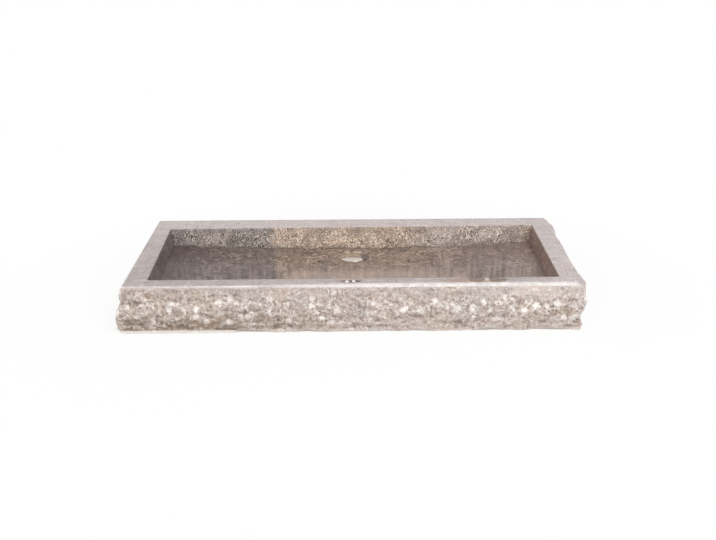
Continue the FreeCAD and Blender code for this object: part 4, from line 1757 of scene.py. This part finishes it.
@dataclass(frozen=True)
class Studio:
    """Floor, light and the camera at the photograph's viewing angle."""

    camera_at: Triple = (0.00864, -2.2424, 0.8226)
    pitch_deg: float = 19.02
    yaw_deg: float = -0.035
    roll_deg: float = -0.43
    lens: float = 55.33
    sensor: float = 36.0
    floor_half: float = 12.0
    floor_drop: float = 0.0004
    floor_colour: Triple = (0.88, 0.88, 0.88)
    floor_glow: float = 0.84
    shadow_reach: Pair = (0.40, 0.85)
    white: Triple = (1.0, 1.0, 1.0)
    world_colour: Triple = (1.0, 0.985, 0.97)
    world_light: float = 0.50
    lamps: tuple[SoftLamp, ...] = (
        SoftLamp("key", (0.7, -1.7, 2.7), (0.0, 0.0, 0.0), 2.0, 70.0),
        SoftLamp("fill", (-2.2, -1.6, 1.2), (0.0, 0.0, 0.05), 1.8, 12.0))

    def build(self) -> None:
        """Builds the whole studio."""
        self._floor()
        self._world()
        for lamp in self.lamps:
            lamp.hang()
        self._camera()

    @staticmethod
    def _seen(sheet: NodeSheet) -> Value:
        """Tells the rays that show the background: from the camera, off metal and polish, and through glass.

        Args:
            sheet: The sheet to add the test to.

        Returns:
            1 for those rays and 0 for the others.
        """
        rays = sheet.node("ShaderNodeLightPath")
        names = ("Is Camera Ray", "Is Glossy Ray", "Is Transmission Ray")
        camera, glossy, through = (sheet.out(rays, name) for name in names)
        return camera | glossy | through

    def _floor(self) -> None:
        """A pale floor that shows white, apart from the shadow round the stone."""
        bm = bmesh.new()
        bmesh.ops.create_grid(bm, x_segments=8, y_segments=8, size=self.floor_half,
                              matrix=Matrix.Translation((0.0, 0.0, -self.floor_drop)))
        sheet = NodeSheet.material("floor_white")
        matt = sheet.node("ShaderNodeBsdfDiffuse", None, {"Color": self.floor_colour})
        glow = sheet.node("ShaderNodeEmission", None, {"Color": self.white, "Strength": 1.0})
        along, across, _ = sheet.axes()
        away = sheet.maths("SQRT", along * along + across * across).step(*self.shadow_reach)
        share = self._seen(sheet) * away.scaled(self.floor_glow, 1.0)
        sheet.node("ShaderNodeOutputMaterial", None, {"Surface": sheet.mixed(share, matt, glow)})
        finish_piece(bm, "studio_floor", [sheet.owner], 30.0)

    def _world(self) -> None:
        """An even white world, softer as a light than as a background."""
        world = bpy.data.worlds.new("studio_world")
        bpy.context.scene.world = world
        sheet = NodeSheet(world)
        light, back = (sheet.node("ShaderNodeBackground", None, {"Color": colour, "Strength": strength})
                       for colour, strength in ((self.world_colour, self.world_light), (self.white, 1.0)))
        sheet.node("ShaderNodeOutputWorld", None, {"Surface": sheet.mixed(self._seen(sheet), light, back)})

    def _camera(self) -> None:
        """The camera that was fitted to the photograph."""
        data = bpy.data.cameras.new("photo_camera")
        data.sensor_width = self.sensor
        data.lens = self.lens
        camera = bpy.data.objects.new("photo_camera", data)
        bpy.context.scene.collection.objects.link(camera)
        turn = (Matrix.Rotation(math.radians(self.yaw_deg), 4, "Z")
                @ Matrix.Rotation(math.radians(90.0 - self.pitch_deg), 4, "X")
                @ Matrix.Rotation(math.radians(self.roll_deg), 4, "Z"))
        camera.matrix_world = Matrix.Translation(self.camera_at) @ turn
        bpy.context.scene.camera = camera


def main() -> None:
    """Builds every piece in order and reports it."""
    logging.basicConfig(level=logging.INFO, format="%(name)s %(message)s")
    Studio().build()
    StoneBlock().build()
    PlugCap().build()
    WasteFittings().dress()
    bpy.context.scene.view_settings.view_transform = "Standard"


if __name__ == "__main__":
    main()
